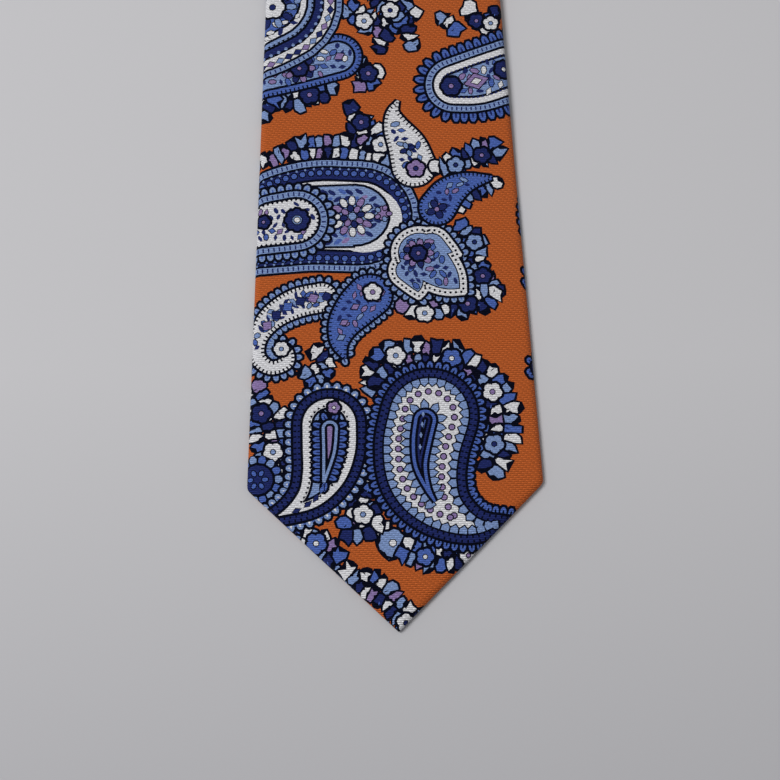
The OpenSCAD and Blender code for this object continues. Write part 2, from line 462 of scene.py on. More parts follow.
def white_banded_boteh():
    """Navy and white bands about a field with a zigzag edge."""
    body = [
        (-20.8, 68.4, 11.6), (-21, 60, 11.4), (-22.6, 52, 9.8),
        (-27, 44.6, 7), (-35, 39.4, 3.8), (-46, 36, 1),
    ]
    heart = [(-20.6, 67, 2.6), (-21, 59, 2.1), (-22.8, 49, 0.5)]
    shapes = bed([(-24, 92, 2.0), (-21, 88, 3.0), (-26, 84.6, 3.0)], 61, 3.0, 0)
    shapes += bed([(-7.6, 84, 2), (-7.4, 78.5, 2)], 62, 3.0, 0)
    shapes += bed([(-9, 49, 2.8), (-12, 42, 5), (-8, 35, 4.6), (-16, 33, 4.0)], 63, 3.3, 7, 3.2)
    shapes += bed([(-31, 31.6, 3.2), (-25, 28.4, 4.0), (-21, 24.6, 3.6)], 64, 3.3, 5, 3.4)
    shapes += [(swept(body, -2.7), INK)]
    shapes += fringe(body, 2.9, 2.7, SKY, WHITE)
    shapes += dots(body, -0.9, 2.9, 0.5, MID, False)
    shapes += boteh(body, [(NAVY, 2.2), (WHITE, 2.7), (SKY, 9)])
    shapes += dashes(body, 0.5, 1.9, 0.9, 0.55, INK)
    shapes += dashes(body, 1.8, 1.9, 0.7, 0.55, INK)
    shapes += teeth(body, 5.6, 1.7, -0.9, INK)
    shapes += teeth(body, 5.8, 1.7, 0.9, INK)
    shapes += [(swept(heart, -2.2), INK)]
    shapes += fringe(heart, 2.2, 3.1, MID, NAVY)
    shapes += boteh(heart, [(SKY, 0.9), (LILAC, 4)])
    shapes += floret((-19.2, 74), 2.0, LILAC, WHITE, 5)
    for x, y, a in ((-23.4, 46.6, 1.2), (-25.4, 43.8, 1.0), (-28, 41.8, 0.7), (-31.6, 39.8, 0.4)):
        shapes += outlined(lozenge((x, y), 0.7, 1.5, a), [MID, NAVY][int(y) % 2], 0.3)
    return shapes


def lying_boteh():
    """The widest boteh, lying across the blade, with a smaller one inside it."""
    body = [(-9.6, 140.8, 19.8), (-26, 141.4, 19.6), (-42, 138, 17), (-56, 131, 10), (-70, 121, 1)]
    inner = [(-31, 139.8, 10.6), (-42, 138, 9.8), (-54, 133, 5.6), (-64, 126, 1)]
    shapes = bed([(-43, 161, 3), (-33, 165, 3.2), (-20, 166.4, 3.4), (-8, 165, 3.6), (0, 161, 3)], 8, 3.4, 0)
    shapes += bed([(-11, 178.6, 2), (-8, 174, 3.6), (-4, 168.6, 4.2), (0, 163, 3)], 12, 3.2, 4, 2.9)
    shapes += boteh(body, [(SKY, 2.0), (NAVY, 3.9), (WHITE, 2.6), (SKY, 14)])
    shapes += dashes(body, 1.0, 1.7, 1.5, 0.5, NAVY)
    shapes += dots(body, 4.5, 2.9, 0.95, MID)
    shapes += dots(body, 3.0, 2.9, 0.4, SKY, False)
    shapes.append((ellipse((-8, 139.6), 11.9, 12.6, n=26), WHITE))
    bed_end = np.array([(-44, 130.6), (-12, 130.2), (-12, 151.8), (-44, 151.4)])
    middle = ellipse((-11.4, 141.2), 10.6, 11.4, n=26)
    shapes += stacked([outlined(bed_end, SKY), outlined(middle, SKY)])
    rng = np.random.default_rng(5)
    for j, y in enumerate(np.arange(132, 151, 2.5)):
        for x in np.arange(-41 + (j % 2) * 1.5, -1, 3.0):
            c = np.array([x, y]) + (rng.random(2) - 0.5) * 0.8
            if x > -12 and np.linalg.norm(c - (-11.4, 141.2)) > 9.4:
                continue
            mark = ellipse(c, 0.8, 1.7, 0.6 * (-1) ** j, 6)
            shapes.append((mark, [NAVY, MID, NAVY, NAVY, LILAC][int(rng.integers(0, 5))]))
    shapes += ring_of((-12, 140.8), 5.6, 12, [WHITE, WHITE, LILAC], 1.05, 1.7)
    shapes += ring_of((-12, 140.8), 2.9, 8, [NAVY, LILAC], 0.9, 1.2, 0.2)
    shapes += outlined(disc((-12, 140.8), 1.3), SKY, 0.35)
    shapes += outlined(ellipse((-1.8, 141.6), 2.6, 1.6, n=8), LILAC, 0.4)
    shapes += ring_of((-1.8, 141.6), 2.1, 5, [LILAC, SKY], 0.7, 0.9, 1.2)
    shapes += [(swept(inner, -2.8), INK)]
    shapes += fringe(inner, 2.7, 2.8, SKY, MID)
    shapes += boteh(inner, [(SKY, 2.0), (WHITE, 9)])
    shapes += dashes(inner, 1.0, 1.8, 1.5, 0.5, NAVY)
    shapes += teeth(inner, 2.8, 1.6, 0.8, INK)
    shapes += field(inner, 3.6, 2.7, 14, [NAVY, MID, LILAC, NAVY, NAVY], 0.52)
    shapes += floret((-30.4, 140), 4.0, NAVY, WHITE, 8, 0, SKY)
    shapes += floret((-41.6, 139.6), 2.2, NAVY, LILAC, 5)
    return shapes


def dashed_boteh():
    """Small white boteh with a dashed border, its tip up."""
    body = [(9, 158.4, 7.2), (7, 165.6, 6.2), (3.6, 172.4, 4.2), (2.4, 178, 2), (4.2, 182.4, 0.4)]
    shapes = boteh(body, [(WHITE, 8)])
    shapes += dashes(body, 0.55, 1.5, 1.1, 0.5, INK)
    shapes += field(body, 2.0, 2.9, 22, [SKY, NAVY, MID, NAVY], 0.5)
    shapes += floret((9.6, 157.6), 3.0, LILAC, NAVY, 5, 0.3)
    shapes += ring_of((7, 164.6), 1.5, 4, [NAVY, SKY], 0.7, 1.1, 0.4)
    return shapes


def leaning_boteh():
    """Small mid-blue boteh that leans right, under a spray."""
    body = [(16.4, 143.2, 6.0), (20.4, 148.6, 5.2), (26.6, 152.2, 3.2), (35, 153.6, 0.6)]
    shapes = bed([(17, 158, 2.6), (24, 160, 3.2), (31, 162.4, 3.6), (37, 164.6, 3.4)], 21, 3.2, 5, 2.8)
    shapes += bed([(24, 144, 2.4), (29, 148.4, 2.4), (36, 151.6, 2)], 23, 3.1, 0)
    shapes += boteh(body, [(MID, 8)])
    shapes += dashes(body, 0.45, 1.35, 0.9, 0.5, INK)
    shapes += field(body, 1.3, 2.7, 24, [NAVY, SKY, NAVY, LILAC], 0.5)
    shapes += ring_of((16.2, 142.6), 2.0, 4, [NAVY], 1.1, 1.5, 0.4)
    shapes += outlined(disc((16.2, 142.6), 0.8, 6), LILAC, 0.3)
    return shapes


def beaded_leaf():
    """Broad lobed leaf with a beaded white border, in a bed of buds."""
    body = [(10, 127.2, 9.4), (13.4, 123.4, 9.0), (18.4, 118.4, 6.6), (24.4, 112.6, 0.8)]
    lobe = [(14, 129.6, 6.8), (19.4, 127.6, 3.4), (23.6, 126, 0.5)]
    lower = [(6, 121, 6.4), (8.6, 116.4, 4.6), (9.4, 111, 0.6)]
    right = [(24.5, 136, 2.6), (27.6, 131, 3.4), (28.4, 124, 3.2), (29.6, 118, 3.2), (33, 112.6, 3.6)]
    under = [(33, 111.4, 3.2), (26, 109, 3.4), (17, 108.6, 3.6), (9.6, 106, 3.2), (4.6, 108.6, 2)]
    shapes = bed(right, 31, 3.3, 5, 2.8) + bed(under, 32, 3.4, 5, 3.0)
    parts = (body, lobe, lower)
    shapes += [(swept(part, -2.4), INK) for part in parts]
    for part in parts:
        shapes += fringe(part, 2.4, 2.4, SKY, MID)
    shapes += [(swept(part, -LINE), INK) for part in parts]
    shapes += [(swept(part, 0.0), WHITE) for part in parts]
    for part in parts:
        shapes += dots(part, 1.15, 1.75, 0.45, INK, False)
    shapes += [(swept(part, 2.2), INK) for part in parts]
    shapes += [(swept(part, 2.6), SKY) for part in parts]
    shapes += field(body, 2.4, 2.8, 33, [NAVY, MID, NAVY, LILAC, MID], 0.56)
    shapes += field(lower, 2.4, 2.6, 35, [NAVY, MID], 0.56)
    shapes += ring_of((9.6, 127), 3.7, 9, [LILAC, NAVY, LILAC], 0.95, 1.4)
    shapes += floret((9.6, 127), 2.6, NAVY, LILAC, 6, 0.2)
    return shapes


def drooping_boteh():
    """Small mid-blue boteh with its tail down."""
    body = [(-6.8, 112.4, 7.2), (-11, 108.4, 6.6), (-15.4, 102.6, 4.9), (-17, 96.4, 2.7), (-15.4, 91, 0.5)]
    shapes = [(swept(body, -2.2), INK)] + fringe(body, 2.3, 2.3, SKY, NAVY)
    shapes += boteh(body, [(MID, 9)])
    shapes += dashes(body, 0.45, 1.5, 0.9, 0.45, INK)
    shapes += field(body, 1.4, 3.0, 34, [NAVY, NAVY, SKY, LILAC], 0.46)
    shapes += floret((-5.8, 113.6), 3.0, WHITE, LILAC, 5, 0.3)
    for x, y, c in ((-11.6, 108.6, LILAC), (-15.4, 103.2, LILAC), (-16.4, 98, SKY)):
        shapes += outlined(lozenge((x, y), 1.0, 1.5, 0.5), c, 0.35)
    return shapes


def curled_boteh():
    """White dashed boteh whose tail winds into a curl."""
    body = [
        (-22.6, 112.2, 4.9), (-31, 110.4, 4.9), (-38.6, 106, 4.1), (-43.6, 99.4, 3.2), (-44, 92.4, 2.5),
        (-39.6, 88.2, 2.2), (-34.2, 90, 2.1), (-34.6, 94.2, 1.9), (-37, 95, 1.2),
    ]
    shapes = [(swept(body, -2.2), INK)] + fringe(body, 2.3, 2.6, SKY, MID)
    shapes += boteh(body, [(WHITE, 6)])
    shapes += dashes(body, 0.5, 1.4, 1.0, 0.55, INK)
    shapes += field(body[:5], 1.2, 2.3, 36, [SKY, NAVY, MID, NAVY, MID], 0.6)
    marks = ((-20.8, 112.4), (-25.4, 112), (-29.6, 111), (-33.8, 109.2), (-37.6, 106.4), (-40.6, 102.8))
    for i, (x, y) in enumerate(marks):
        shapes += outlined(lozenge((x, y), 1.7, 1.9, 0.3 + 0.12 * i), [NAVY, LILAC, NAVY, MID][i % 4], 0.3)
        shapes.append((lozenge((x - 2.1, y - 0.5), 0.5, 1.5, 1.9 + 0.1 * i), [SKY, NAVY][i % 2]))
    shapes += floret((-36, 94.6), 2.5, WHITE, SKY, 6)
    return shapes


def corner_boteh():
    """Large boteh at the side of the repeat, with a smaller one under it."""
    body = [(-40, 221, 26), (-48, 214.6, 23), (-58, 209, 15), (-70, 206, 2)]
    under = [(-16, 199.4, 8.2), (-25, 196.6, 7.8), (-34, 193.2, 6.6), (-44, 189, 4), (-54, 187, 0.6)]
    shapes = bed([(-43, 186, 3), (-35, 184.4, 3.6), (-27, 185.6, 3.6), (-19, 187.8, 3.2)], 41, 3.4, 4, 3.2)
    shapes += bed([(-41, 179.5, 2), (-38, 183, 2.6)], 45, 3.2, 0)
    shapes += bed([(-8, 196, 2.6), (-5, 191.4, 3.4), (-8, 188.4, 3)], 42, 3.3, 3, 3.0)
    shapes += boteh(under, [(MID, 1.9), (SKY, 9)])
    shapes += dashes(under, 0.5, 1.5, 1.1, 0.5, INK)
    shapes += field(under, 2.4, 3.0, 43, [MID, NAVY, NAVY, WHITE, LILAC], 0.5)
    shapes += ring_of((-29, 195.4), 4.0, 10, [LILAC, NAVY], 0.95, 1.4)
    shapes += floret((-29, 195.4), 2.8, NAVY, LILAC, 6, 0.1)
    shapes += outlined(lozenge((-15.4, 199.6), 1.3, 1.9, 0.5), LILAC, 0.35)
    shapes += boteh(body, [(SKY, 1.7), (WHITE, 3.4), (NAVY, 2.2), (SKY, 1.6), (WHITE, 1.8), (MID, 14)])
    shapes += dashes(body, 0.85, 1.8, 1.3, 0.5, NAVY)
    for i, (p, n) in enumerate(along(swept(body, 3.8), 3.4)):
        shapes += outlined(lozenge(p, 1.0, 1.5, direction(n) + 1.57), [NAVY, SKY, LILAC][i % 3], 0.3)
    shapes += dots(body, 6.9, 2.8, 0.6, SKY, False)
    shapes += teeth(body, 10.4, 1.8, -0.9, INK)
    shapes += field(body, 12.6, 3.3, 44, [NAVY, SKY, NAVY, WHITE, LILAC], 0.5)
    shapes += ring_of((-38, 219), 6.4, 10, [SKY, NAVY], 1.1, 1.9)
    shapes += floret((-38, 219), 4.2, WHITE, NAVY, 6)
    return shapes


def petalled_boteh():
    """Boteh with long petals round it, running off to the side."""
    body = [(23.6, 187.8, 9.8), (32, 189.4, 11.2), (41, 193, 10.8), (52, 200, 8), (62, 208, 1)]
    shapes = bed([(20.4, 212.6, 2), (24, 209.6, 2.4)], 46, 3.2, 0)
    shapes += bed([(30, 215, 2.4), (34, 210, 3.2), (38, 214, 3)], 47, 3.3, 3, 2.6)
    shapes += [(swept(body, -2.4), INK)]
    shapes += fringe(body, 2.9, 3.9, MID, NAVY)
    shapes += boteh(body, [(SKY, 2.0), (WHITE, 2.1), (SKY, 9)])
    shapes += dashes(body, 1.0, 1.6, 1.3, 0.5, NAVY)
    shapes += teeth(body, 4.8, 1.6, 0.8, NAVY)
    shapes += field(body, 5.2, 2.9, 48, [NAVY, NAVY, MID, LILAC, WHITE], 0.52)
    shapes += floret((22.4, 187.4), 3.4, NAVY, LILAC, 6)
    shapes += floret((40.6, 193.4), 3.2, NAVY, WHITE, 6, 0.4)
    shapes += outlined(lozenge((31, 189), 2.9, 4.2, 0.25), LILAC, 0.4)
    shapes += outlined(lozenge((31, 189), 1.2, 1.8, 0.25), WHITE, 0.35)
    return shapes


def scattered_sprays():
    """Florets and leaves between the botehs."""
    shapes = bed([(-15, 19, 2.2), (-10, 15.4, 3.6), (-4, 11.4, 3.6), (1, 6.6, 3.4), (4, 1, 3)], 51, 3.3, 0)
    shapes += floret((2.4, 2.6), 3.0, WHITE, NAVY, 5, 0.3)
    shapes += bed([(-3.4, 30, 2.2), (-1, 26.6, 3.4)], 52, 4.2, 0)
    shapes += floret((-1.2, 28.4), 4.6, SKY, WHITE, 6, 0.3)
    side_bed = [(-45, 79, 3.8), (-42, 73, 5.6), (-40, 66, 6.2), (-39, 59, 5.2), (-36, 54, 3.4)]
    shapes += bed(side_bed, 57, 3.3, 6, 3.2)
    shapes += [(disc((-44, 50.4), 8.2, 20), INK)]
    shapes += ring_of((-44, 50.4), 6.6, 14, [SKY, MID], 1.25, 1.5)
    shapes += outlined(disc((-44, 50.4), 4.9, 14), NAVY)
    shapes += ring_of((-44, 50.4), 2.4, 6, [MID], 0.7, 1.0)
    shapes += bed([(-10, 216.4, 3.2), (-3.4, 211, 3.8), (3.6, 211.6, 3.8), (9, 216.6, 3.2)], 58, 3.3, 4, 3.0)
    shapes += bed([(-1, 202.6, 1.8), (1, 207, 2.4)], 59, 3.1, 0)
    shapes += bed([(9.6, 204.4, 1.8), (8, 208.6, 2.2)], 60, 3.1, 0)
    for low, high in ((29.5, 41.0), (11.0, 11.8), (193.4, 194.2)):  # small botehs at the repeat's edge
        side = [(-74.4, low, 3.0), (-74.6, (low + high) / 2, 2.8), (-74.0, high, 1.6)]
        shapes += fringe(side, 2.6, 2.4, MID, NAVY)
        shapes += boteh(side, [(NAVY, 1.2), (SKY, 2.0)])
    return shapes


def oriented(polygon):
    """Anticlockwise, with no repeated point."""
    step = np.linalg.norm(polygon - np.roll(polygon, 1, 0), axis=1)
    p = polygon[step > 1e-3]
    return p if signed_area(p) > 0 else p[::-1]


def one_repeat():
    shapes = scattered_sprays() + corner_boteh() + petalled_boteh() + lying_boteh()
    shapes += curled_boteh() + drooping_boteh() + beaded_leaf() + dashed_boteh()
    shapes += leaning_boteh() + white_banded_boteh() + large_boteh()
    return [(oriented(p), c) for p, c in shapes]


REPEAT = one_repeat()
REPEAT_SIZES = [abs(signed_area(p)) for p, _ in REPEAT]
SMALL_AREA = 1.1


def print_over(low, high, shift=(0.0, 0.0), all_up_to=-BIG):
    """The shapes of the repeating print that reach into a box of the cloth.

    The smallest marks are left out of the cloth past all_up_to, which is seen from further off.
    """
    found = []
    low, high = np.array(low) - shift, np.array(high) - shift
    first_column = math.floor((low[0] - 90) / REPEAT_ACROSS)
    last_column = math.ceil((high[0] + 90) / REPEAT_ACROSS)
    first_row = math.floor((low[1] - 250) / REPEAT_ALONG)
    last_row = math.ceil((high[1] + 10) / REPEAT_ALONG)
    for i in range(first_column, last_column + 1):
        for j in range(first_row, last_row + 1):
            move = np.array([i * REPEAT_ACROSS, j * REPEAT_ALONG + (i % 2) * REPEAT_ALONG / 2])
            for (p, colour), size in zip(REPEAT, REPEAT_SIZES):
                a, b = p.min(0) + move, p.max(0) + move
                if size < SMALL_AREA and b[1] + shift[1] > all_up_to:
                    continue
                if a[0] < high[0] and b[0] > low[0] and a[1] < high[1] and b[1] > low[1]:
                    found.append((p + move + shift, colour))
    return found


# ---------------------------------------------------------------- cloth: how silk lies round a blade

ROLL_X = 2.1
ROLL_Z = THICK / 2
SAG = 0.55
SAG_REACH = 4.5
PUFF = 0.10
JOIN_DEPTH = 0.38


def roll_table():
    """Arc length round a quarter of the rolled edge, against its angle."""
    angle = np.linspace(0, math.pi / 2, 200)
    step = np.hypot(ROLL_X * np.sin(angle), ROLL_Z * np.cos(angle))
    arc = np.concatenate([[0], np.cumsum((step[1:] + step[:-1]) / 2 * np.diff(angle))])
    return arc, angle


ROLL_ARC, ROLL_ANGLE = roll_table()
ROLL_END = ROLL_ARC[-1]
EXTRA = ROLL_END - ROLL_X


class Cut:
    """One cut piece of silk: its half width along it, and where its cloth lies."""

    def __init__(self, half, slope, place, tip, joins):
        self.half, self.place, self.tip, self.joins = half, place, tip, joins
        self.lean = math.cos(math.atan(slope))

    def edge_distance(self, x, v):
        """Distance in from the fold line along the edge, on the flat cloth."""
        side = self.half(v) + EXTRA
        near = [(side - x) * self.lean, (side + x) * self.lean]
        if self.tip:
            reach = v + EXTRA * ROOT_TWO
            near += [(reach - x) / ROOT_TWO, (reach + x) / ROOT_TWO]
        soft = 0.45
        return -soft * np.log(sum(np.exp(-np.clip(n / soft, -60, 60)) for n in near))

    def inward(self, x, v):
        e = 0.02
        gx = self.edge_distance(x + e, v) - self.edge_distance(x - e, v)
        gv = self.edge_distance(x, v + e) - self.edge_distance(x, v - e)
        length = np.maximum(np.hypot(gx, gv), 1e-9)
        return gx / length, gv / length

    def lies(self, x, v, under):
        """Where a point of the flat cloth lies, over the blade or under it, in millimetres."""
        a = self.edge_distance(x, v)
        gx, gv = self.inward(x, v)
        angle = np.interp(a, ROLL_ARC, ROLL_ANGLE)
        inset = np.where(a < ROLL_END, ROLL_X * (1 - np.cos(angle)), a - EXTRA)
        shift = inset - (a - EXTRA)
        px, pv = x + gx * shift, v + gv * shift
        round_up = np.sin(angle)
        sag = SAG * np.exp(-np.maximum(a, 0) / SAG_REACH)
        if under:
            h = THICK / 2 - ROLL_Z * round_up - sag * (1 - round_up)
        else:
            h = THICK / 2 + ROLL_Z * round_up - sag
            calm = np.clip(a / 9, 0, 1) ** 2
            h = h - PUFF * calm * (1 + np.sin(pv / 13.0 + 0.04 * px) * np.cos(px / 11.0 - pv / 37.0)) / 2
            for at, slant in self.joins:
                seam = np.abs(pv - at - slant * px) / ROOT_TWO
                h = h - JOIN_DEPTH * np.clip(1 - seam / 1.1, 0, 1) ** 2
        return self.place(px, pv, h)

    def fold_line(self, a, v_from, v_to, step=5.0):
        """The line at a distance in from the fold line, as points on the flat cloth."""
        if not self.tip:
            v = np.linspace(v_from, v_to, max(3, int((v_to - v_from) / step)))
            return [np.stack([s * (self.half(v) + EXTRA - a / self.lean), v], 1) for s in (-1, 1)]
        corner = crossing(lambda v: self.half(v) - v, 5.0, 90.0)
        near = np.array([0, 0.3, 0.6, 0.9, 1.3, 1.8, 2.5, 4, 6])
        tip_v = -EXTRA * ROOT_TWO
        top = np.linspace(corner + 8, v_to, max(3, int((v_to - corner) / step)))
        v = np.concatenate([tip_v + near, np.linspace(tip_v + 9, corner - 7, 9)])
        v = np.concatenate([v, corner - near[::-1][:-1], corner + near, top])
        x = np.minimum(v - tip_v, self.half(v) + EXTRA)
        x = np.maximum(x, 0)
        line = np.vstack([np.stack([-x, v], 1)[::-1], np.stack([x, v], 1)[1:]])
        for _ in range(8):
            off = a - self.edge_distance(line[:, 0], line[:, 1])
            gx, gv = self.inward(line[:, 0], line[:, 1])
            line = line + np.stack([gx, gv], 1) * off[:, None]
        return [line]


def crossing(f, low, high):
    """Where f changes sign, by halving."""
    for _ in range(60):
        mid = (low + high) / 2
        if (f(low) > 0) == (f(mid) > 0):
            low = mid
        else:
            high = mid
    return (low + high) / 2


def front_half_width(v):
    t = np.clip((v - BLADE_HALF) / (FRONT_NECK_FROM - BLADE_HALF), -0.2, 1)
    return BLADE_HALF - (BLADE_HALF - NECK_HALF) * t


def tail_half_width(v):
    t = np.clip((v - TAIL_HALF) / (TAIL_NECK_FROM - TAIL_HALF), -0.2, 1)
    return TAIL_HALF - (TAIL_HALF - NECK_HALF) * t


BEND = math.pi * (THICK + GAP / 2)
NECK_END = FRONT_LENGTH + BEND + TAIL_LENGTH


def tail_along(v):
    """Distance from the tail's tip, for a distance from the front tip."""
    return NECK_END - v


def neck_half_width(v):
    return np.where(v < FRONT_LENGTH, front_half_width(v), tail_half_width(tail_along(v)))


def place_front(x, v, h):
    return np.stack([x, FRONT_TIP_Y + v, back_z(v) + h], 1)


def place_tail(x, v, h):
    return np.stack([x, TAIL_TIP_Y + v, THICK - h], 1)


def place_neck(x, v, h):
    """Along the upper layer, round the fold and back along the lower one."""
    turn = np.clip((v - FRONT_LENGTH) / BEND, 0, 1) * math.pi
    mid = THICK + GAP / 2
    radius = h + GAP / 2
    before = np.minimum(v - FRONT_LENGTH, 0)
    after = np.maximum(v - FRONT_LENGTH - BEND, 0)
    y = FOLD_Y + before - after + radius * np.sin(turn)
    lift = back_z(np.minimum(v, FRONT_LENGTH)) - (THICK + GAP)
    z = mid + radius * np.cos(turn) + np.where(v < FRONT_LENGTH, lift, 0)
    return np.stack([x, y, z], 1)


front_slope = (BLADE_HALF - NECK_HALF) / (FRONT_NECK_FROM - BLADE_HALF)
tail_slope = (TAIL_HALF - NECK_HALF) / (TAIL_NECK_FROM - TAIL_HALF)
neck_slope = 0.03
FRONT = Cut(front_half_width, front_slope, place_front, True, [(FRONT_JOIN, 1)])
TAIL = Cut(tail_half_width, tail_slope, place_tail, True, [(TAIL_JOIN, 1)])
TAIL_JOIN_ON_NECK = tail_along(TAIL_JOIN)
NECK = Cut(neck_half_width, neck_slope, place_neck, False, [(FRONT_JOIN, 1), (TAIL_JOIN_ON_NECK, -1)])


# ---------------------------------------------------------------- cloth: cutting and sewing up

BARE, UNKNOWN = -1, -2  # no cloth here, and no colour yet
FINE = 0.035


def triangulated(points, edges, outlines):
    """A triangulation that keeps the given lines, with its triangles anticlockwise."""
    made = delaunay_2d_cdt([Vector(p) for p in points], edges, outlines, 0, 1e-4)
    verts = np.array([(p[0], p[1]) for p in made[0]])
    triangles = np.array(made[2])
    a, b, c = (verts[triangles[:, k]] for k in range(3))
    turn = (b[:, 0] - a[:, 0]) * (c[:, 1] - a[:, 1]) - (b[:, 1] - a[:, 1]) * (c[:, 0] - a[:, 0])
    triangles[turn < 0] = triangles[turn < 0][:, ::-1]
    return made, verts, triangles


def across_edges(triangles, count):
    """Every directed edge of the triangles, and the triangle on its other side, or -1."""
    a, b = triangles.ravel(), triangles[:, [1, 2, 0]].ravel()
    key, back = a * count + b, b * count + a
    order = np.argsort(key)
    at = np.minimum(np.searchsorted(key[order], back), len(key) - 1)
    other = np.where(key[order][at] == back, order[at] // 3, -1)
    return a, b, other


def straightened(line, slack=FINE):
    """A line without the points that are within a small distance of it anyway."""
    keep = np.zeros(len(line), bool)
    keep[[0, -1]] = True
    spans = [(0, len(line) - 1)]
    while spans:
        i, j = spans.pop()
        if j - i < 2:
            continue
        d = line[j] - line[i]
        size = np.hypot(*d)
        r = line[i + 1 : j] - line[i]
        off = np.abs(r[:, 0] * d[1] - r[:, 1] * d[0]) / size if size > 1e-6 else np.hypot(r[:, 0], r[:, 1])
        k = int(off.argmax())
        if off[k] > slack:
            keep[i + 1 + k] = True
            spans += [(i, i + 1 + k), (i + 1 + k, j)]
    return keep


def border_lines(verts, a, b, left, right):
    """Chains of the edges where two colours meet, each with the colour on its left and on its right."""
    at = {}
    for k in range(len(a)):
        at.setdefault(int(a[k]), []).append(k)
        at.setdefault(int(b[k]), []).append(k)
    used = np.zeros(len(a), bool)
    lines = []

    def walk(start, k):
        chain, v = [start], start
        colours = (left[k], right[k]) if a[k] == start else (right[k], left[k])
        while True:
            used[k] = True
            v = int(b[k]) if a[k] == v else int(a[k])
            chain.append(v)
            onward = [n for n in at[v] if not used[n]]
            if len(at[v]) != 2 or not onward:
                break
            k = onward[0]
        lines.append((chain, colours))

    for v, edges in at.items():
        if len(edges) != 2:
            for k in edges:
                if not used[k]:
                    walk(v, k)
    for k in range(len(a)):
        if not used[k]:
            walk(int(a[k]), k)
    found = []
    for chain, colours in lines:
        if chain[0] == chain[-1] and len(chain) > 4:
            half = len(chain) // 2
            parts = [chain[: half + 1], chain[half:]]
        else:
            parts = [chain]
        for part in parts:
            line = verts[part]
            found.append((np.array(part)[straightened(line)], colours))
    return found


def filled_in(labels, ways, other):
    """Gives unknown triangles the colour of a known one beside them, until none is left."""
    for _ in range(4000):
        known = labels[other[ways]]
        new = (labels[ways // 3] == UNKNOWN) & (known != UNKNOWN) & (known != BARE)
        if not new.any():
            break
        labels[ways[new] // 3] = known[new]


def within(points, polygon):
    """Which of the points are inside a polygon."""
    inside = np.zeros(len(points), bool)
    x, y = points[:, 0], points[:, 1]
    for (x0, y0), (x1, y1) in zip(polygon, np.roll(polygon, -1, 0)):
        if y0 != y1:
            inside ^= ((y0 > y) != (y1 > y)) & (x < x0 + (y - y0) * (x1 - x0) / (y1 - y0))
    return inside


def top_colours(inside, outside, shapes):
    """The cloth and the shapes laid over each other: triangles, and the colour on top of each or BARE."""
    outlines = inside + outside + [oriented(p) for p, _ in shapes]
    fixed = len(inside) + len(outside)
    points, faces = [], []
    for p in outlines:
        faces.append(list(range(len(points), len(points) + len(p))))
        points.extend(map(tuple, p))
    made, verts, triangles = triangulated(points, [], faces)
    wanted, unwanted = set(range(len(inside))), set(range(len(inside), fixed))
    labels = np.full(len(triangles), BARE)
    for k, on in enumerate(made[5]):
        on = set(on)
        if wanted <= on and not (unwanted & on):
            top = max(on)
            labels[k] = shapes[top - fixed][1] if top >= fixed else ORANGE
    return verts, triangles, labels


def colour_borders(verts, triangles, labels):
    """The lines between two colours, as points, edges and the colours on each edge's left and right."""
    a, b, other = across_edges(triangles, len(verts))
    own = np.repeat(labels, 3)
    beyond = np.where(other >= 0, labels[other], BARE)
    border = (own != beyond) & ((a < b) | (other < 0))
    points, edges, sides, index = [], [], [], {}
    for chain, colours_beside in border_lines(verts, a[border], b[border], own[border], beyond[border]):
        for v in chain:
            if int(v) not in index:
                index[int(v)] = len(points)
                points.append(tuple(verts[v]))
        for v, w in zip(chain[:-1], chain[1:]):
            edges.append((index[int(v)], index[int(w)]))
            sides.append(colours_beside)
    return points, edges, sides


def colours_beside_edges(made, verts, points, edges, sides):
    """The colour to the left of each directed edge that lies on a line between colours."""
    start_points = np.array(points)
    known = {}
    for (p, q), origins in zip(made[1], made[4]):
        line = [o for o in origins if o < len(sides)]
        if line:
            i, j = edges[line[0]]
            same = np.dot(start_points[j] - start_points[i], verts[q] - verts[p]) > 0
            left, right = sides[line[0]] if same else sides[line[0]][::-1]
            known[(p, q)] = left
            known[(q, p)] = right
    return known


def cut_cloth(inside, outside, shapes, guides):
    """Triangles of the flat cloth in every inside outline and no outside one, and the top shape on each.

    The shapes are laid over each other first, and then only the lines between colours are kept.
    """
    inside = [oriented(np.array(p, float)) for p in inside]
    outside = [oriented(np.array(p, float)) for p in outside]
    points, edges, sides = colour_borders(*top_colours(inside, outside, shapes))
    for g in guides:
        start = len(points)
        points.extend(map(tuple, g))
        edges.extend((start + i, start + i + 1) for i in range(len(g) - 1))
    made, verts, triangles = triangulated(points, edges, [])
    known = colours_beside_edges(made, verts, points, edges, sides)
    a, b, other = across_edges(triangles, len(verts))
    closed = np.zeros(len(a), bool)
    labels = np.full(len(triangles), UNKNOWN)
    for k in range(len(a)):
        side = known.get((a[k], b[k]))
        if side is not None:
            closed[k] = True
            labels[k // 3] = side
    filled_in(labels, np.nonzero(~closed & (other >= 0))[0], other)
    middle = verts[triangles].mean(1)
    keep = np.ones(len(triangles), bool)
    for polygon in inside:
        keep &= within(middle, polygon)
    for polygon in outside:
        keep &= ~within(middle, polygon)
    labels[~keep] = BARE
    labels[keep & (labels < 0)] = UNKNOWN
    filled_in(labels, np.nonzero(other >= 0)[0], other)
    keep &= labels >= 0
    used, back = np.unique(triangles[keep], return_inverse=True)
    return verts[used], back.reshape(-1, 3), labels[keep]


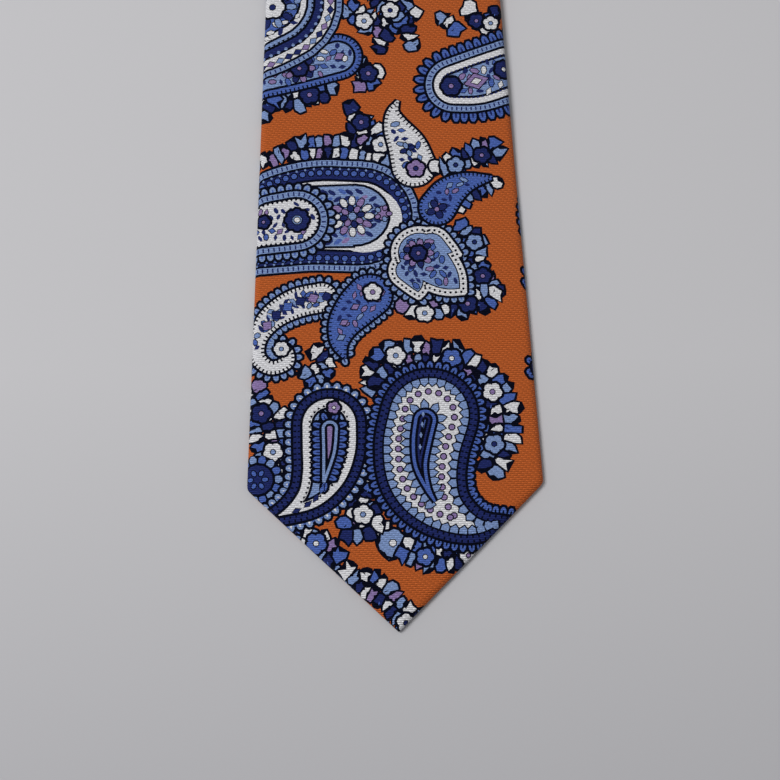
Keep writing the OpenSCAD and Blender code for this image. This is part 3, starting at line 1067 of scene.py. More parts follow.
def surface(flat, triangles, paint, at, outward):
    """A panel of cloth: its points, their normals and its faces, from a rule for where cloth lies."""
    x, v = flat[:, 0], flat[:, 1]
    e = 0.03
    points = at(x, v)
    du = at(x + e, v) - at(x - e, v)
    dv = at(x, v + e) - at(x, v - e)
    n = np.cross(du, dv)
    n /= np.maximum(np.linalg.norm(n, axis=1), 1e-12)[:, None]
    a, b, c = points[triangles[:, 0]], points[triangles[:, 1]], points[triangles[:, 2]]
    face = np.cross(b - a, c - a)
    lead = np.sign(np.sum(face * n[triangles[:, 0]]))
    if lead < 0:
        triangles = triangles[:, ::-1]
    if np.sum(n * outward(flat)) < 0:
        n = -n
        triangles = triangles[:, ::-1]
    return {"points": points, "normals": n, "faces": triangles, "paint": paint, "uv": flat}


def cross_lines(low, high, half, step):
    return [np.array([[-half, v], [half, v]]) for v in np.arange(low, high, step)]


def long_lines(low, high, across):
    return [np.array([[x, low], [x, high]]) for x in across]


ROLL_LEVELS = (0.45, 0.9, 1.4, 1.9, 2.4, ROLL_END, 4.5, 7.0)


def beside_join(at, side=-1, slant=1):
    """A block of the flat cloth before (-1) or after (+1) a slanted join."""
    edge = np.array([[-BIG, at - BIG], [BIG, at + BIG]])
    shift = np.array([-side * BIG, side * BIG])
    return np.vstack([edge, edge[::-1] + shift]) * (slant, 1)


def open_back(half, hem, apex):
    """The opening on a blade's back where the tipping shows, and the slit on from it."""
    x, widest = 0.62 * half, half + 12
    return np.array(
        [
            [0, hem * ROOT_TWO], [x, x + hem * ROOT_TWO], [x, widest], [SLIT / 2, apex],
            [SLIT / 2, BIG], [-SLIT / 2, BIG], [-SLIT / 2, apex], [-x, widest], [-x, x + hem * ROOT_TWO],
        ]
    )


def reflected(shapes, p, q):
    """Shapes turned over across the line through p and q, as cloth is when it is folded back."""
    d = (np.array(q) - p) / np.linalg.norm(np.array(q) - p)
    made = []
    for polygon, colour in shapes:
        r = polygon - p
        t = (r @ d)[:, None] * d
        made.append((p + 2 * t - r, colour))
    return made


def rim(panel, flat_edge, at, depth=0.42):
    """The turned edge of a flap: a small roll, up and back under the cloth."""
    faces = panel["faces"]
    count = {}
    for k, (a, b, c) in enumerate(faces):
        for i, j in ((a, b), (b, c), (c, a)):
            key = (min(i, j), max(i, j))
            count[key] = None if key in count else (i, j, k)
    uv = panel["uv"]
    rims = [v for v in count.values() if v is not None and flat_edge(uv[v[0]], uv[v[1]])]
    if not rims:
        return []
    into = {}
    for i, j, k in rims:
        m = uv[faces[k]].mean(0) - (uv[i] + uv[j]) / 2
        d = (uv[j] - uv[i]) / max(np.linalg.norm(uv[j] - uv[i]), 1e-9)
        m = m - (m @ d) * d
        m = m / max(np.linalg.norm(m), 1e-9)
        for w in (i, j):
            into.setdefault(w, []).append(m)
    index = {w: n for n, w in enumerate(into)}
    base = np.array([uv[w] for w in into])
    way = np.array([np.mean(into[w], 0) for w in into])
    way = way / np.maximum(np.linalg.norm(way, axis=1), 1e-6)[:, None]
    levels = [(0.0, 0.0), (-0.14, 0.12), (-0.14, 0.30), (0.0, depth), (2.4, depth + 0.05)]
    rings = [at(base + way * off, up) for off, up in levels]
    points = np.vstack(rings)
    n = len(into)
    quads, paint = [], []
    for i, j, k in rims:
        a, b = index[i], index[j]
        for r in range(len(levels) - 1):
            quads.append([b + r * n, a + r * n, a + (r + 1) * n, b + (r + 1) * n])
            paint.append(panel["paint"][k])
    uvs = np.vstack([base + way * off for off, _ in levels])
    return [{"points": points, "normals": None, "faces": quads, "paint": paint, "uv": uvs}]


def put_in_scene(name, data):
    made = bpy.data.objects.new(name, data)
    bpy.context.scene.collection.objects.link(made)
    return made


def one_colour(points, faces, uv):
    """A panel in its first material alone, with the mesh's own normals."""
    return {"points": points, "normals": None, "faces": faces, "paint": [0] * len(faces), "uv": uv}


def build(name, panels, materials):
    """One mesh object in metres from panels of cloth."""
    points, uvs, faces, paint, normals, offset = [], [], [], [], [], 0
    for p in panels:
        points.append(p["points"])
        uvs.append(np.asarray(p["uv"], float))
        fine = p["normals"] is not None
        normals.append(p["normals"] if fine else np.zeros_like(p["points"]))
        faces += [[int(i) + offset for i in f] for f in p["faces"]]
        paint += [int(c) for c in p["paint"]]
        offset += len(p["points"])
    points, uvs, normals = np.vstack(points) * MM, np.vstack(uvs) * MM, np.vstack(normals)
    mesh = bpy.data.meshes.new(name)
    mesh.from_pydata(points.tolist(), [], faces)
    mesh.polygons.foreach_set("material_index", np.array(paint, np.int32))
    mesh.polygons.foreach_set("use_smooth", np.ones(len(faces), bool))
    loops = np.zeros(len(mesh.loops), np.int32)
    mesh.loops.foreach_get("vertex_index", loops)
    layer = mesh.uv_layers.new(name="cloth")
    layer.data.foreach_set("uv", uvs[loops].ravel().astype(np.float32))
    for m in materials:
        mesh.materials.append(m)
    mesh.update()
    custom = np.linalg.norm(normals, axis=1) > 0.5
    if custom.any():
        own = np.zeros(len(mesh.vertices) * 3, np.float32)
        mesh.vertex_normals.foreach_get("vector", own)
        own = own.reshape(-1, 3)
        own[custom] = normals[custom]
        mesh.normals_split_custom_set_from_vertices(own.tolist())
    return put_in_scene(name, mesh)


def upward(cut, sign):
    """The way out of the cloth, for a face (+1) or a back (-1)."""

    def way(flat):
        low = cut.place(flat[:, 0], flat[:, 1], np.zeros(len(flat)))
        high = cut.place(flat[:, 0], flat[:, 1], np.ones(len(flat)))
        return (high - low) * sign

    return way


def back_folds(cut, outlines, gaps, guides, print_on, mirror, free):
    """The two folds of silk that meet on the back, each with its print turned over and its edge rolled."""
    panels = []
    for side in (-1, 1):
        p, q = (np.array([side * x, v]) for x, v in mirror)
        around = reflected(print_on(side), p, q)
        flat = cut_cloth(outlines + [block(0, -BIG, side * BIG, BIG)], gaps, around, guides)
        panel = surface(*flat, lambda x, v: cut.lies(x, v, True), upward(cut, -1))
        panels.append(panel)
        panels += rim(panel, free, lambda p, up: cut.place(p[:, 0], p[:, 1], np.full(len(p), up)))
    return panels


def blade_silk(name, cut, half, neck_from, join, hem, apex, shift, reach, finest=-BIG):
    """A blade's silk: its face, and the two folds of it that meet on the back.

    The print is moved by shift, and has its smallest marks only up to finest.
    """
    levels = [g for a in ROLL_LEVELS for g in cut.fold_line(a, 0, reach)]
    outlines = [cut.fold_line(0, 0, reach)[0], beside_join(join)]
    lines = cross_lines(2, reach, half + 5, 6.0) + long_lines(0, reach, range(-30, 31, 10))
    design = print_over((-half - 6, -8), (half + 6, reach), shift, finest)
    flat = cut_cloth(outlines, [], design, levels + lines)
    face = surface(*flat, lambda x, v: cut.lies(x, v, False), upward(cut, 1))

    def print_on(side):
        return print_over((side * half - half - 6, -30), (side * half + half + 6, reach), shift)

    def free(p, q):
        m = (p + q) / 2
        edge = cut.edge_distance(m[:1], m[1:])[0]
        return edge > 0.5 and abs(m[0]) > 0.01 and m[1] - m[0] < join - 0.01

    mirror = (half + EXTRA, half), (NECK_HALF + EXTRA, neck_from)
    guides = levels + cross_lines(2, reach, half + 5, 12.0)
    backs = back_folds(cut, outlines, [open_back(half, hem, apex)], guides, print_on, mirror, free)
    return build(name, [face] + backs, PRINT)


# ---------------------------------------------------------------- materials

PRINT_COLOURS = {
    "orange": (0.605, 0.132, 0.027),
    "navy": (0.020, 0.031, 0.155),
    "ink": (0.003, 0.004, 0.013),
    "mid_blue": (0.086, 0.162, 0.540),
    "sky_blue": (0.260, 0.380, 0.700),
    "white": (0.900, 0.900, 0.940),
    "lilac": (0.330, 0.230, 0.500),
}


def node(tree, kind, **values):
    made = tree.nodes.new(kind)
    for key, value in values.items():
        setattr(made, key, value)
    return made


def math_node(tree, operation, a, b=None, clamp=False):
    made = node(tree, "ShaderNodeMath", operation=operation, use_clamp=clamp)
    for socket, value in zip(made.inputs, (a, b)):
        if isinstance(value, (int, float)):
            socket.default_value = value
        elif value is not None:
            tree.links.new(value, socket)
    return made.outputs[0]


RIB_PITCH = 0.00067
FLOAT_LENGTH = 0.0021
STAGGER = 0.382


def twill_group():
    """Height and roughness of silk twill: ribs across the tie, made of short staggered floats."""
    group = bpy.data.node_groups.new("silk_twill", "ShaderNodeTree")
    group.interface.new_socket("Height", in_out="OUTPUT", socket_type="NodeSocketFloat")
    group.interface.new_socket("Roughness", in_out="OUTPUT", socket_type="NodeSocketFloat")
    uv = node(group, "ShaderNodeUVMap", uv_map="cloth")
    split = node(group, "ShaderNodeSeparateXYZ")
    group.links.new(uv.outputs[0], split.inputs[0])
    across, along_v = split.outputs[0], split.outputs[1]
    row = math_node(group, "DIVIDE", along_v, RIB_PITCH)
    which = math_node(group, "FLOOR", row)
    inside = math_node(group, "FRACT", row)
    rib = math_node(group, "SINE", math_node(group, "MULTIPLY", inside, math.pi))
    stagger = math_node(group, "MULTIPLY", which, STAGGER)
    float_at = math_node(group, "ADD", math_node(group, "DIVIDE", across, FLOAT_LENGTH), stagger)
    in_float = math_node(group, "FRACT", float_at)
    dash = math_node(group, "SINE", math_node(group, "MULTIPLY", in_float, math.pi))
    dash = math_node(group, "POWER", dash, 0.5)
    noise = node(group, "ShaderNodeTexNoise")
    noise.inputs["Scale"].default_value = 900.0
    noise.inputs["Detail"].default_value = 2.0
    group.links.new(uv.outputs[0], noise.inputs["Vector"])
    uneven = math_node(group, "MULTIPLY", noise.outputs[0], 0.5)
    height = math_node(group, "MULTIPLY", rib, math_node(group, "ADD", dash, 0.5))
    height = math_node(group, "ADD", height, uneven)
    out = node(group, "NodeGroupOutput")
    group.links.new(height, out.inputs["Height"])
    rough = math_node(group, "SUBTRACT", 0.62, math_node(group, "MULTIPLY", height, 0.12))
    group.links.new(rough, out.inputs["Roughness"])
    return group


TWILL = twill_group()


def new_material(name, colour):
    """A material of one plain colour, with its node tree and its shader."""
    material = bpy.data.materials.new(name)
    material.use_nodes = True
    shader = material.node_tree.nodes["Principled BSDF"]
    shader.inputs["Base Color"].default_value = (*colour, 1)
    return material, material.node_tree, shader


def bumped(tree, shader, height, depth):
    """Gives a shader the relief of a height output, to a depth in metres."""
    bump = node(tree, "ShaderNodeBump")
    bump.inputs["Distance"].default_value = depth
    tree.links.new(height, bump.inputs["Height"])
    tree.links.new(bump.outputs[0], shader.inputs["Normal"])


def silk(name, colour, sheen=0.02, depth=0.00034, shine=0.1):
    """Printed silk twill in one of the print's colours."""
    material, tree, shader = new_material("silk_" + name, colour)
    shader.inputs["Specular IOR Level"].default_value = shine
    shader.inputs["Sheen Weight"].default_value = sheen
    shader.inputs["Sheen Roughness"].default_value = 0.4
    twill = node(tree, "ShaderNodeGroup", node_tree=TWILL)
    bumped(tree, shader, twill.outputs["Height"], depth)
    tree.links.new(twill.outputs["Roughness"], shader.inputs["Roughness"])
    return material


DARK_INKS = ("ink", "navy")
PRINT = []
for name, colour in PRINT_COLOURS.items():
    PRINT.append(silk(name, colour, 0.0, shine=0.04) if name in DARK_INKS else silk(name, colour))


# ---------------------------------------------------------------- camera, floor and light


def look_at(obj, target, roll=0.0):
    """Turns a camera or lamp towards a point, rolled about its own view."""
    direction_to = Vector(target) - obj.location
    obj.rotation_euler = direction_to.to_track_quat("-Z", "Y").to_euler()
    obj.rotation_euler = (obj.rotation_euler.to_matrix() @ Matrix.Rotation(roll, 3, "Z")).to_euler()


VIEW_ANGLE = math.radians(20)
VIEW_TARGET = Vector((-0.0009, -0.3595, 0))
VIEW_DISTANCE = 0.72
VIEW_ELEVATION = math.radians(71.5)
VIEW_ROLL = math.radians(-1.43)


def add_camera():
    """Looks down on the front blade's lower end, as the photograph does."""
    data = bpy.data.cameras.new("camera")
    data.angle = VIEW_ANGLE
    data.clip_start = 0.01
    camera = put_in_scene("camera", data)
    back = Vector((0, -math.cos(VIEW_ELEVATION), math.sin(VIEW_ELEVATION)))
    camera.location = VIEW_TARGET + VIEW_DISTANCE * back
    look_at(camera, VIEW_TARGET, VIEW_ROLL)
    bpy.context.scene.camera = camera


# Painted shade: the colour near the viewer is darker, standing in for the softbox's light falling off; the
# far colour is the surface's own.
PAPER_NEAR_PAINTED_SHADE = (0.428, 0.425, 0.445)
PAPER_FAR = (0.535, 0.530, 0.548)
PAINTED_SHADE_FROM, PAINTED_SHADE_REACH = -0.50, 0.15


def paper_with_painted_shade():
    """The surface under the tie: a plain matt white, with painted shade that makes it a little darker
    towards the viewer.
    """
    material, tree, shader = new_material("paper_with_painted_shade", PAPER_FAR)
    shader.inputs["Roughness"].default_value = 0.85
    place = node(tree, "ShaderNodeTexCoord")
    split = node(tree, "ShaderNodeSeparateXYZ")
    tree.links.new(place.outputs["Object"], split.inputs[0])
    beyond = math_node(tree, "SUBTRACT", split.outputs[1], PAINTED_SHADE_FROM)
    share = math_node(tree, "DIVIDE", beyond, PAINTED_SHADE_REACH, True)
    # Painted shade: a blend from the darker near colour to the surface's own colour.
    shade = node(tree, "ShaderNodeMix", data_type="RGBA")
    shade.inputs["A"].default_value = (*PAPER_NEAR_PAINTED_SHADE, 1)
    shade.inputs["B"].default_value = (*PAPER_FAR, 1)
    tree.links.new(share, shade.inputs["Factor"])
    tree.links.new(shade.outputs["Result"], shader.inputs["Base Color"])
    return material


def add_floor():
    """The surface that the tie lies on."""
    reach = 4.0
    mesh = bpy.data.meshes.new("floor")
    corners = [(-reach, -reach, 0), (reach, -reach, 0), (reach, reach, 0), (-reach, reach, 0)]
    mesh.from_pydata(corners, [], [(0, 1, 2, 3)])
    mesh.materials.append(paper_with_painted_shade())
    put_in_scene("floor", mesh)


ROOM_LIGHT = 0.36
LAMP_SIZE = 0.9
LAMP_WATTS = 32.0
LAMP_PLACE = (-1.15, -0.05, 1.75)
LAMP_TARGET = (0, -0.3, 0)


def add_light():
    """Even light from all round, and a softbox on the left."""
    world = bpy.data.worlds.new("studio")
    bpy.context.scene.world = world
    world.use_nodes = True
    background = world.node_tree.nodes["Background"]
    background.inputs[0].default_value = (1, 1, 1, 1)
    background.inputs[1].default_value = ROOM_LIGHT
    data = bpy.data.lights.new("softbox", "AREA")
    data.size = LAMP_SIZE
    data.energy = LAMP_WATTS
    lamp = put_in_scene("softbox", data)
    lamp.location = LAMP_PLACE
    look_at(lamp, LAMP_TARGET)


add_camera()
add_floor()
add_light()
bpy.context.scene.view_settings.view_transform = "Standard"


# ---------------------------------------------------------------- pieces: silk


def flat_area(obj):
    """The area of the cloth before it was folded, in square metres."""
    mesh = obj.data
    mesh.calc_loop_triangles()
    corners = np.zeros(len(mesh.loop_triangles) * 3, np.int32)
    mesh.loop_triangles.foreach_get("loops", corners)
    uv = np.zeros(len(mesh.loops) * 2, np.float32)
    mesh.uv_layers["cloth"].data.foreach_get("uv", uv)
    p = uv.reshape(-1, 2)[corners].reshape(-1, 3, 2).astype(float)
    a, b = p[:, 1] - p[:, 0], p[:, 2] - p[:, 0]
    return float(np.abs(a[:, 0] * b[:, 1] - a[:, 1] * b[:, 0]).sum() / 2)


def sheet_piece(obj, body, slot, flat, rests_on, *nodes, held="folded", faces=1):
    """Hides the CAD nodes that a cloth piece stands for and sets it on its body; its finish and its cut size
    are not used.
    """
    if nodes:
        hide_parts(*nodes)
    if body:
        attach(obj, body)
    flat_area(obj) / faces
    return obj


front = blade_silk(
    "front_silk", FRONT, BLADE_HALF, FRONT_NECK_FROM, FRONT_JOIN, FRONT_HEM, FRONT_APEX,
    shift=(0, 0), reach=745.0, finest=285.0,
)
tail = blade_silk(
    "tail_silk", TAIL, TAIL_HALF, TAIL_NECK_FROM, TAIL_JOIN, TAIL_HEM, TAIL_APEX,
    shift=(14, -36), reach=405.0,
)


def neck_silk():
    """The neck piece: one length of silk from join to join, round the fold."""
    low, high = FRONT_JOIN - 40, TAIL_JOIN_ON_NECK + 40
    shift = (-22, 64)
    levels = [g for a in ROLL_LEVELS for g in NECK.fold_line(a, low, high, 8.0)]
    left, right = NECK.fold_line(0, low, high, 8.0)
    bend = cross_lines(FRONT_LENGTH, FRONT_LENGTH + BEND + 0.1, 40, BEND / 20)
    lines = cross_lines(low, FRONT_LENGTH, 40, 8.0) + bend + cross_lines(FRONT_LENGTH + 15, high, 40, 8.0)
    ends = [beside_join(FRONT_JOIN, 1), beside_join(TAIL_JOIN_ON_NECK, -1, -1)]
    outlines = [np.vstack([left, right[::-1]])] + ends
    design = print_over((-30, low), (30, high), shift)
    flat = cut_cloth(outlines, [], design, levels + lines)
    face = surface(*flat, lambda x, v: NECK.lies(x, v, False), upward(NECK, 1))
    slit = block(-SLIT / 2, -BIG, SLIT / 2, BIG)
    edge = NECK_HALF + EXTRA

    def print_on(side):
        return print_over((min(0, 2 * side * edge) - 6, low), (max(0, 2 * side * edge) + 6, high), shift)

    def free(p, q):
        return abs((p + q)[0]) < SLIT * 1.1 and abs(p[0] - q[0]) < 1e-3

    mirror = (edge, 0.0), (edge, 1.0)
    backs = back_folds(NECK, outlines, [slit], levels + lines, print_on, mirror, free)
    return build("neck_silk", [face] + backs, PRINT)


neck = neck_silk()
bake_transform(neck)


# ---------------------------------------------------------------- pieces: interlining and tipping


def blade_reach(v, inset):
    """Half width of a layer inside the whole tie, from the front tip round to the tail tip."""
    s = tail_along(v)
    wide = np.where(v < FRONT_LENGTH, front_half_width(v), tail_half_width(s))
    return np.maximum(np.minimum(wide, np.minimum(v, s)) - inset, 0.02)


WOOL_INSET = 1.6
WOOL_BOTTOM, WOOL_TOP = 1.0, 2.1


def strip(name, v_rows, columns=9):
    """A closed layer of wool inside the tie, between two heights above its back."""
    share = np.linspace(-1, 1, columns)
    x = blade_reach(v_rows, WOOL_INSET)[:, None] * share[None, :]
    v = np.repeat(v_rows[:, None], columns, 1)
    n = x.size
    low = place_neck(x.ravel(), v.ravel(), np.full(n, WOOL_BOTTOM))
    high = place_neck(x.ravel(), v.ravel(), np.full(n, WOOL_TOP))
    faces = []
    rows = len(v_rows)
    for i in range(rows - 1):
        for j in range(columns - 1):
            a, b = i * columns + j, i * columns + j + 1
            c, d = b + columns, a + columns
            faces += [[a, d, c, b], [n + a, n + b, n + c, n + d]]
        for j, flip in ((0, False), (columns - 1, True)):
            a, d = i * columns + j, (i + 1) * columns + j
            quad = [a, n + a, n + d, d]
            faces.append(quad[::-1] if flip else quad)
    for i, flip in ((0, True), (rows - 1, False)):
        for j in range(columns - 1):
            a, b = i * columns + j, i * columns + j + 1
            quad = [a, n + a, n + b, b]
            faces.append(quad[::-1] if not flip else quad)
    flat = np.stack([x.ravel(), v.ravel()], 1)
    panel = one_colour(np.vstack([low, high]), faces, np.vstack([flat, flat]))
    return build(name, [panel], [WOOL])


def plain_cloth(name, colour, pitch, depth, roughness, sheen):
    """A plain woven cloth: threads over and under at a pitch, with a little fuzz."""
    material, tree, shader = new_material(name, colour)
    shader.inputs["Sheen Weight"].default_value = sheen
    uv = node(tree, "ShaderNodeUVMap", uv_map="cloth")
    split = node(tree, "ShaderNodeSeparateXYZ")
    tree.links.new(uv.outputs[0], split.inputs[0])
    waves = [
        math_node(tree, "SINE", math_node(tree, "MULTIPLY", split.outputs[k], 2 * math.pi / pitch[k]))
        for k in (0, 1)
    ]
    weave = math_node(tree, "MULTIPLY", waves[0], waves[1])
    noise = node(tree, "ShaderNodeTexNoise")
    noise.inputs["Scale"].default_value = 1400.0
    tree.links.new(uv.outputs[0], noise.inputs["Vector"])
    height = math_node(tree, "ADD", weave, noise.outputs[0])
    bumped(tree, shader, height, depth)
    rough = math_node(tree, "ADD", roughness, math_node(tree, "MULTIPLY", noise.outputs[0], 0.2))
    tree.links.new(rough, shader.inputs["Roughness"])
    return material


WOOL = plain_cloth("wool_interlining", (0.72, 0.67, 0.55), (0.0011, 0.0011), 0.0002, 0.75, 0.3)
LINING = plain_cloth("lining_silk", (0.018, 0.026, 0.110), (0.00035, 0.0007), 0.00006, 0.35, 0.2)
LABEL = plain_cloth("label_tape", (0.78, 0.77, 0.72), (0.0004, 0.0006), 0.00005, 0.4, 0.2)
LABEL_EDGE = plain_cloth("label_border", (0.05, 0.07, 0.22), (0.0004, 0.0006), 0.00005, 0.4, 0.2)

front_rows = np.concatenate([np.arange(2.0, 56, 3), np.arange(56, FRONT_JOIN - 4, 8.0), [FRONT_JOIN]])
neck_rows = np.concatenate(
    [np.arange(FRONT_JOIN + 0.2, FRONT_LENGTH, 8.0), np.arange(21) / 20 * BEND + FRONT_LENGTH,
     np.arange(FRONT_LENGTH + BEND + 6, TAIL_JOIN_ON_NECK - 4, 8.0), [TAIL_JOIN_ON_NECK]]
)
tail_rows = np.concatenate(
    [np.arange(TAIL_JOIN_ON_NECK + 0.2, NECK_END - 40, 8.0), np.arange(NECK_END - 36, NECK_END - 1, 3.0)]
)
wool_front = strip("interlining_front", front_rows)
wool_neck = strip("interlining_neck", neck_rows)
wool_tail = strip("interlining_tail", tail_rows)
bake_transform(wool_neck)


def tipping(name, cut, half, hem, apex, at, inset=1.9):
    """Lining behind the opening on a blade's back, on past the meeting of the folds."""
    outline = cut.fold_line(EXTRA + inset, 0, apex + 60)[0]
    end = block(-BIG, -BIG, BIG, apex + TIPPING_PAST)
    lines = cross_lines(4, apex + 20, half, 5.0) + long_lines(0, apex + 20, np.arange(-40, 41, 8.0))
    flat = cut_cloth([outline, end], [], [], lines)

    def lies(x, v):
        """Taut over the middle, and dimpled along the hem where it is sewn."""
        hem_line = np.minimum((v - hem * ROOT_TWO - np.abs(x)) / ROOT_TWO, 30)
        puff = 0.12 * np.exp(-((hem_line - 2.2) ** 2) / 3.0)
        ripple = 0.05 * np.sin(v / 2.2 + np.abs(x) / 2.0) * np.exp(-np.abs(hem_line) / 4)
        return cut.place(x, v, at - puff + ripple)

    panel = surface(*flat, lies, upward(cut, -1))
    panel["paint"] = np.zeros(len(panel["faces"]), int)
    return build(name, [panel], [LINING])


front_tipping = tipping("front_lining", FRONT, BLADE_HALF, FRONT_HEM, FRONT_APEX, 0.72)
tail_tipping = tipping("tail_lining", TAIL, TAIL_HALF, TAIL_HEM, TAIL_APEX, 0.72)

sheet_piece(front, "front_half", "printed_silk", (0.200, 0.760), ["floor", "tail_silk"], "front_shell")
sheet_piece(tail, "tail_half", "printed_silk", (0.125, 0.405), ["floor"], "tail_shell")
sheet_piece(neck, None, "printed_silk", (0.082, 0.465), ["floor"], "front_neck_shell", "tail_neck_shell")
sheet_piece(
    wool_front, "front_half", "wool_interlining", (0.092, 0.70), ["front_silk"], "front_interlining", faces=2
)
sheet_piece(
    wool_neck, None, "wool_interlining", (0.038, 0.421), ["neck_silk"],
    "front_interlining", "tail_interlining", faces=2,
)
sheet_piece(
    wool_tail, "tail_half", "wool_interlining", (0.053, 0.37), ["tail_silk"], "tail_interlining", faces=2
)
sheet_piece(
    front_tipping, "front_half", "lining_silk", (0.093, 0.215), ["interlining_front"],
    "front_tipping", held="laid",
)
sheet_piece(
    tail_tipping, "tail_half", "lining_silk", (0.054, 0.097), ["interlining_tail"],
    "tail_tipping", held="laid",
)


# ---------------------------------------------------------------- pieces: keeper loop and labels


def tape(name, across, wide, rows, columns, design, lies, materials):
    """A doubled strip across the blade's back, with lines of points that round its edges.

    Its rule lies(x, w, side) says where the lower layer (side 1) and the upper one (side -1) go.
    """
    half = across / 2
    guides = [np.array([[-half, w], [half, w]]) for w in rows]
    guides += [np.array([[x, -wide], [x, wide]]) for x in columns]
    flat = cut_cloth([block(-half, -wide / 2, half, wide / 2)], [], design, guides)
    panels = []
    for side in (-1, 1):

        def way(flat, side=side):
            return np.tile([0.0, 0.0, -float(side)], (len(flat), 1))

        panels.append(surface(*flat, lambda x, w, side=side: lies(x, w, side), way))
    return build(name, panels, materials)


def keeper_loop():
    """A loop of the printed silk, tacked flat at its ends and standing off the back between them."""
    thick, half = 0.48, KEEPER_SPAN / 2
    rows = [KEEPER_WIDE / 2 * k for k in (-0.995, -0.97, -0.92, -0.8, 0.8, 0.92, 0.97, 0.995)]
    design = [(p - (0, 74), c) for p, c in print_over((-25, 60), (25, 90))]

    def lies(x, w, side):
        pinch = np.sqrt(np.maximum(1 - np.abs(2 * w / KEEPER_WIDE) ** 8, 0))
        ends = np.sqrt(np.maximum(1 - np.abs(x / half) ** 60, 0))
        off = 0.01 + 0.34 * eased((half - np.abs(x)) / 5.0)
        h = -off - thick / 2 + side * -thick / 2 * pinch * ends
        return FRONT.place(x, KEEPER_AT + w, h)

    columns = np.arange(-half + 1, half, 1)
    return tape("keeper_loop_silk", KEEPER_SPAN, KEEPER_WIDE, rows, columns, design, lies, PRINT)


def woven_label(name, centre_v, across, wide, lowest, thick, border):
    """A blank woven label: a folded tape with a thin woven line near its two edges."""
    half, woven = across / 2, 0.35
    edges = (border - wide / 2, wide / 2 - border)
    lines = [(block(-across, y - woven, across, y + woven), 1) for y in edges]
    rows = wide / 2 * np.array([-0.99, -0.95, 0.95, 0.99])
    columns = half * np.array([-0.99, -0.96, 0, 0.96, 0.99])

    def lies(x, w, side):
        a = np.maximum(1 - np.abs(2 * w / wide) ** 40, 0)
        b = np.maximum(1 - np.abs(x / half) ** 60, 0)
        z = lowest + thick / 2 - side * thick / 2 * np.sqrt(np.minimum(a, b))
        z = z + 0.02 * np.sin(x / 5.0) * np.cos(w / 4.0)
        return np.stack([x, FRONT_TIP_Y + centre_v + w, z], 1)

    return tape(name, across, wide, rows, columns, lines, lies, [LABEL, LABEL_EDGE])


keeper = keeper_loop()
keeper_size = (KEEPER_SPAN * MM, 2 * KEEPER_WIDE * MM)
sheet_piece(keeper, "front_half", "printed_silk", keeper_size, ["front_silk"], "keeper_loop")
brand = woven_label("blank_label", BRAND_AT, *BRAND_SIZE, 0.24, 0.27, 1.8)
care = woven_label("blank_care_label", CARE_TOP_AT - CARE_SIZE[1] / 2, *CARE_SIZE, 0.11, 0.28, 1.0)
sheet_piece(brand, "front_half", "label_tape", (0.044, 0.040), ["front_lining"], "brand_label", held="laid")
sheet_piece(care, "care_label", "label_tape", (0.014, 0.050), ["front_lining"], "care_label", held="laid")


# ---------------------------------------------------------------- pieces: threads


def thread(name, colour):
    """Twisted sewing silk."""
    material, tree, shader = new_material(name, colour)
    shader.inputs["Roughness"].default_value = 0.45
    shader.inputs["Sheen Weight"].default_value = 0.2
    place = node(tree, "ShaderNodeTexCoord")
    wave = node(tree, "ShaderNodeTexWave", bands_direction="DIAGONAL")
    wave.inputs["Scale"].default_value = 900.0
    tree.links.new(place.outputs["Object"], wave.inputs["Vector"])
    bumped(tree, shader, wave.outputs["Fac"], 0.00004)
    return material


NAVY_THREAD = thread("navy_thread", (0.018, 0.026, 0.120))
ORANGE_THREAD = thread("orange_thread", (0.50, 0.14, 0.03))
for cad_name, material in (
    ("front_join_thread", ORANGE_THREAD),
    ("tail_join_thread", ORANGE_THREAD),
    ("front_slip_stitches", NAVY_THREAD),
    ("tail_slip_stitches", NAVY_THREAD),
):
    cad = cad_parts[cad_name]
    cad.data.materials.clear()
    cad.data.materials.append(material)


def stitches(name, runs, radius, material):
    """Short threads, each a run from one point to another with its middle raised off the cloth."""
    points, faces, offset = [], [], 0
    sides, rings = 6, 7
    for start, end, off in runs:
        start, end, off = (np.array(q, float) for q in (start, end, off))
        d = (end - start) / max(np.linalg.norm(end - start), 1e-9)
        across = np.cross(d, (0, 0, 1.0))
        across /= max(np.linalg.norm(across), 1e-9)
        up = np.cross(across, d)
        for i in range(rings):
            t = i / (rings - 1)
            c = start + (end - start) * t + off * math.sin(math.pi * t)
            r = radius * (0.45 + 0.55 * max(math.sin(math.pi * t), 0.0) ** 0.5)
            for k in range(sides):
                a = 2 * math.pi * k / sides
                points.append(c + r * (math.cos(a) * across + math.sin(a) * up))
        for i in range(rings - 1):
            for k in range(sides):
                a, b = offset + i * sides + k, offset + i * sides + (k + 1) % sides
                faces.append([a, b, b + sides, a + sides])
        faces.append([offset + k for k in range(sides)][::-1])
        faces.append([offset + (rings - 1) * sides + k for k in range(sides)])
        offset += rings * sides
    points = np.array(points)
    return build(name, [one_colour(points, faces, points[:, :2])], [material])


def sewn(piece, body, node_name):
    """Hides the CAD node that a piece of stitching stands for, and sets the piece on the body it rides on.
    """
    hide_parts(node_name)
    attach(piece, body)


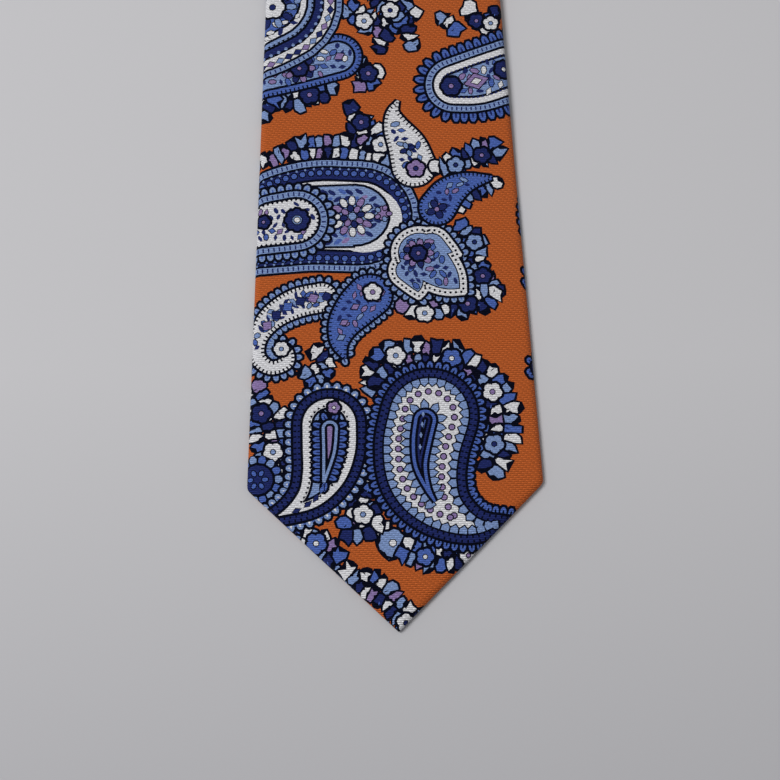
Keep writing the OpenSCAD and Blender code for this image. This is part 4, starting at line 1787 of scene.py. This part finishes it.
def bar_of_stitches(name, y, z, out, node_name, body, wide=9.0, deep=1.1, count=26):
    """A bar tack: threads laid side by side over the seam."""
    runs = []
    for i in range(count):
        x = -wide / 2 + wide * (i + 0.5) / count
        lean = 0.10 * (-1) ** i
        runs.append(((x - lean, y - deep / 2, z), (x + lean, y + deep / 2, z), (0, 0, out * 0.14)))
    sewn(stitches(name, runs, 0.17, NAVY_THREAD), body, node_name)


front_tack_z = float(back_z(FRONT_TACK_AT)) - 0.10
bar_of_stitches(
    "front_tack_threads", FRONT_TIP_Y + FRONT_TACK_AT, front_tack_z, -1, "front_bar_tack", "front_half"
)
bar_of_stitches(
    "tail_tack_threads", TAIL_TIP_Y + TAIL_TACK_AT, THICK + 0.10, 1, "tail_bar_tack", "tail_half"
)


def row_of_stitches(name, ends, spacing, body, node_name):
    """Small stitches square to one or more lines."""
    runs = []
    for (x0, y0), (x1, y1), z, reach, out in ends:
        a, b = np.array([x0, y0]), np.array([x1, y1])
        d = (b - a) / np.linalg.norm(b - a)
        n = np.array([d[1], -d[0]])
        for k in range(max(2, int(np.linalg.norm(b - a) / spacing))):
            c = a + d * (k + 0.5) * spacing
            p, q = c - n * reach / 2, c + n * reach / 2
            runs.append(((*p, z), (*q, z), (0, 0, out)))
    sewn(stitches(name, runs, 0.13, NAVY_THREAD), body, node_name)


keeper_y = FRONT_TIP_Y + KEEPER_AT
row_of_stitches(
    "keeper_tack_threads",
    [((s * 21, keeper_y - 4.8), (s * 21, keeper_y + 4.8), 0.46, 1.6, -0.10) for s in (-1, 1)],
    0.8, "front_half", "keeper_loop_tacks",
)
brand_y = FRONT_TIP_Y + BRAND_AT
row_of_stitches(
    "label_threads",
    [((s * 21.6, brand_y - 9.4), (s * 21.6, brand_y + 9.4), 0.26, 1.3, -0.06) for s in (-1, 1)],
    1.7, "front_half", "brand_label_stitches",
)
care_y = FRONT_TIP_Y + CARE_TOP_AT
row_of_stitches(
    "care_label_threads",
    [((-6, care_y + 0.5), (6, care_y + 0.5), 0.55, 1.4, -0.05)],
    1.2, "front_half", "care_label_tack",
)
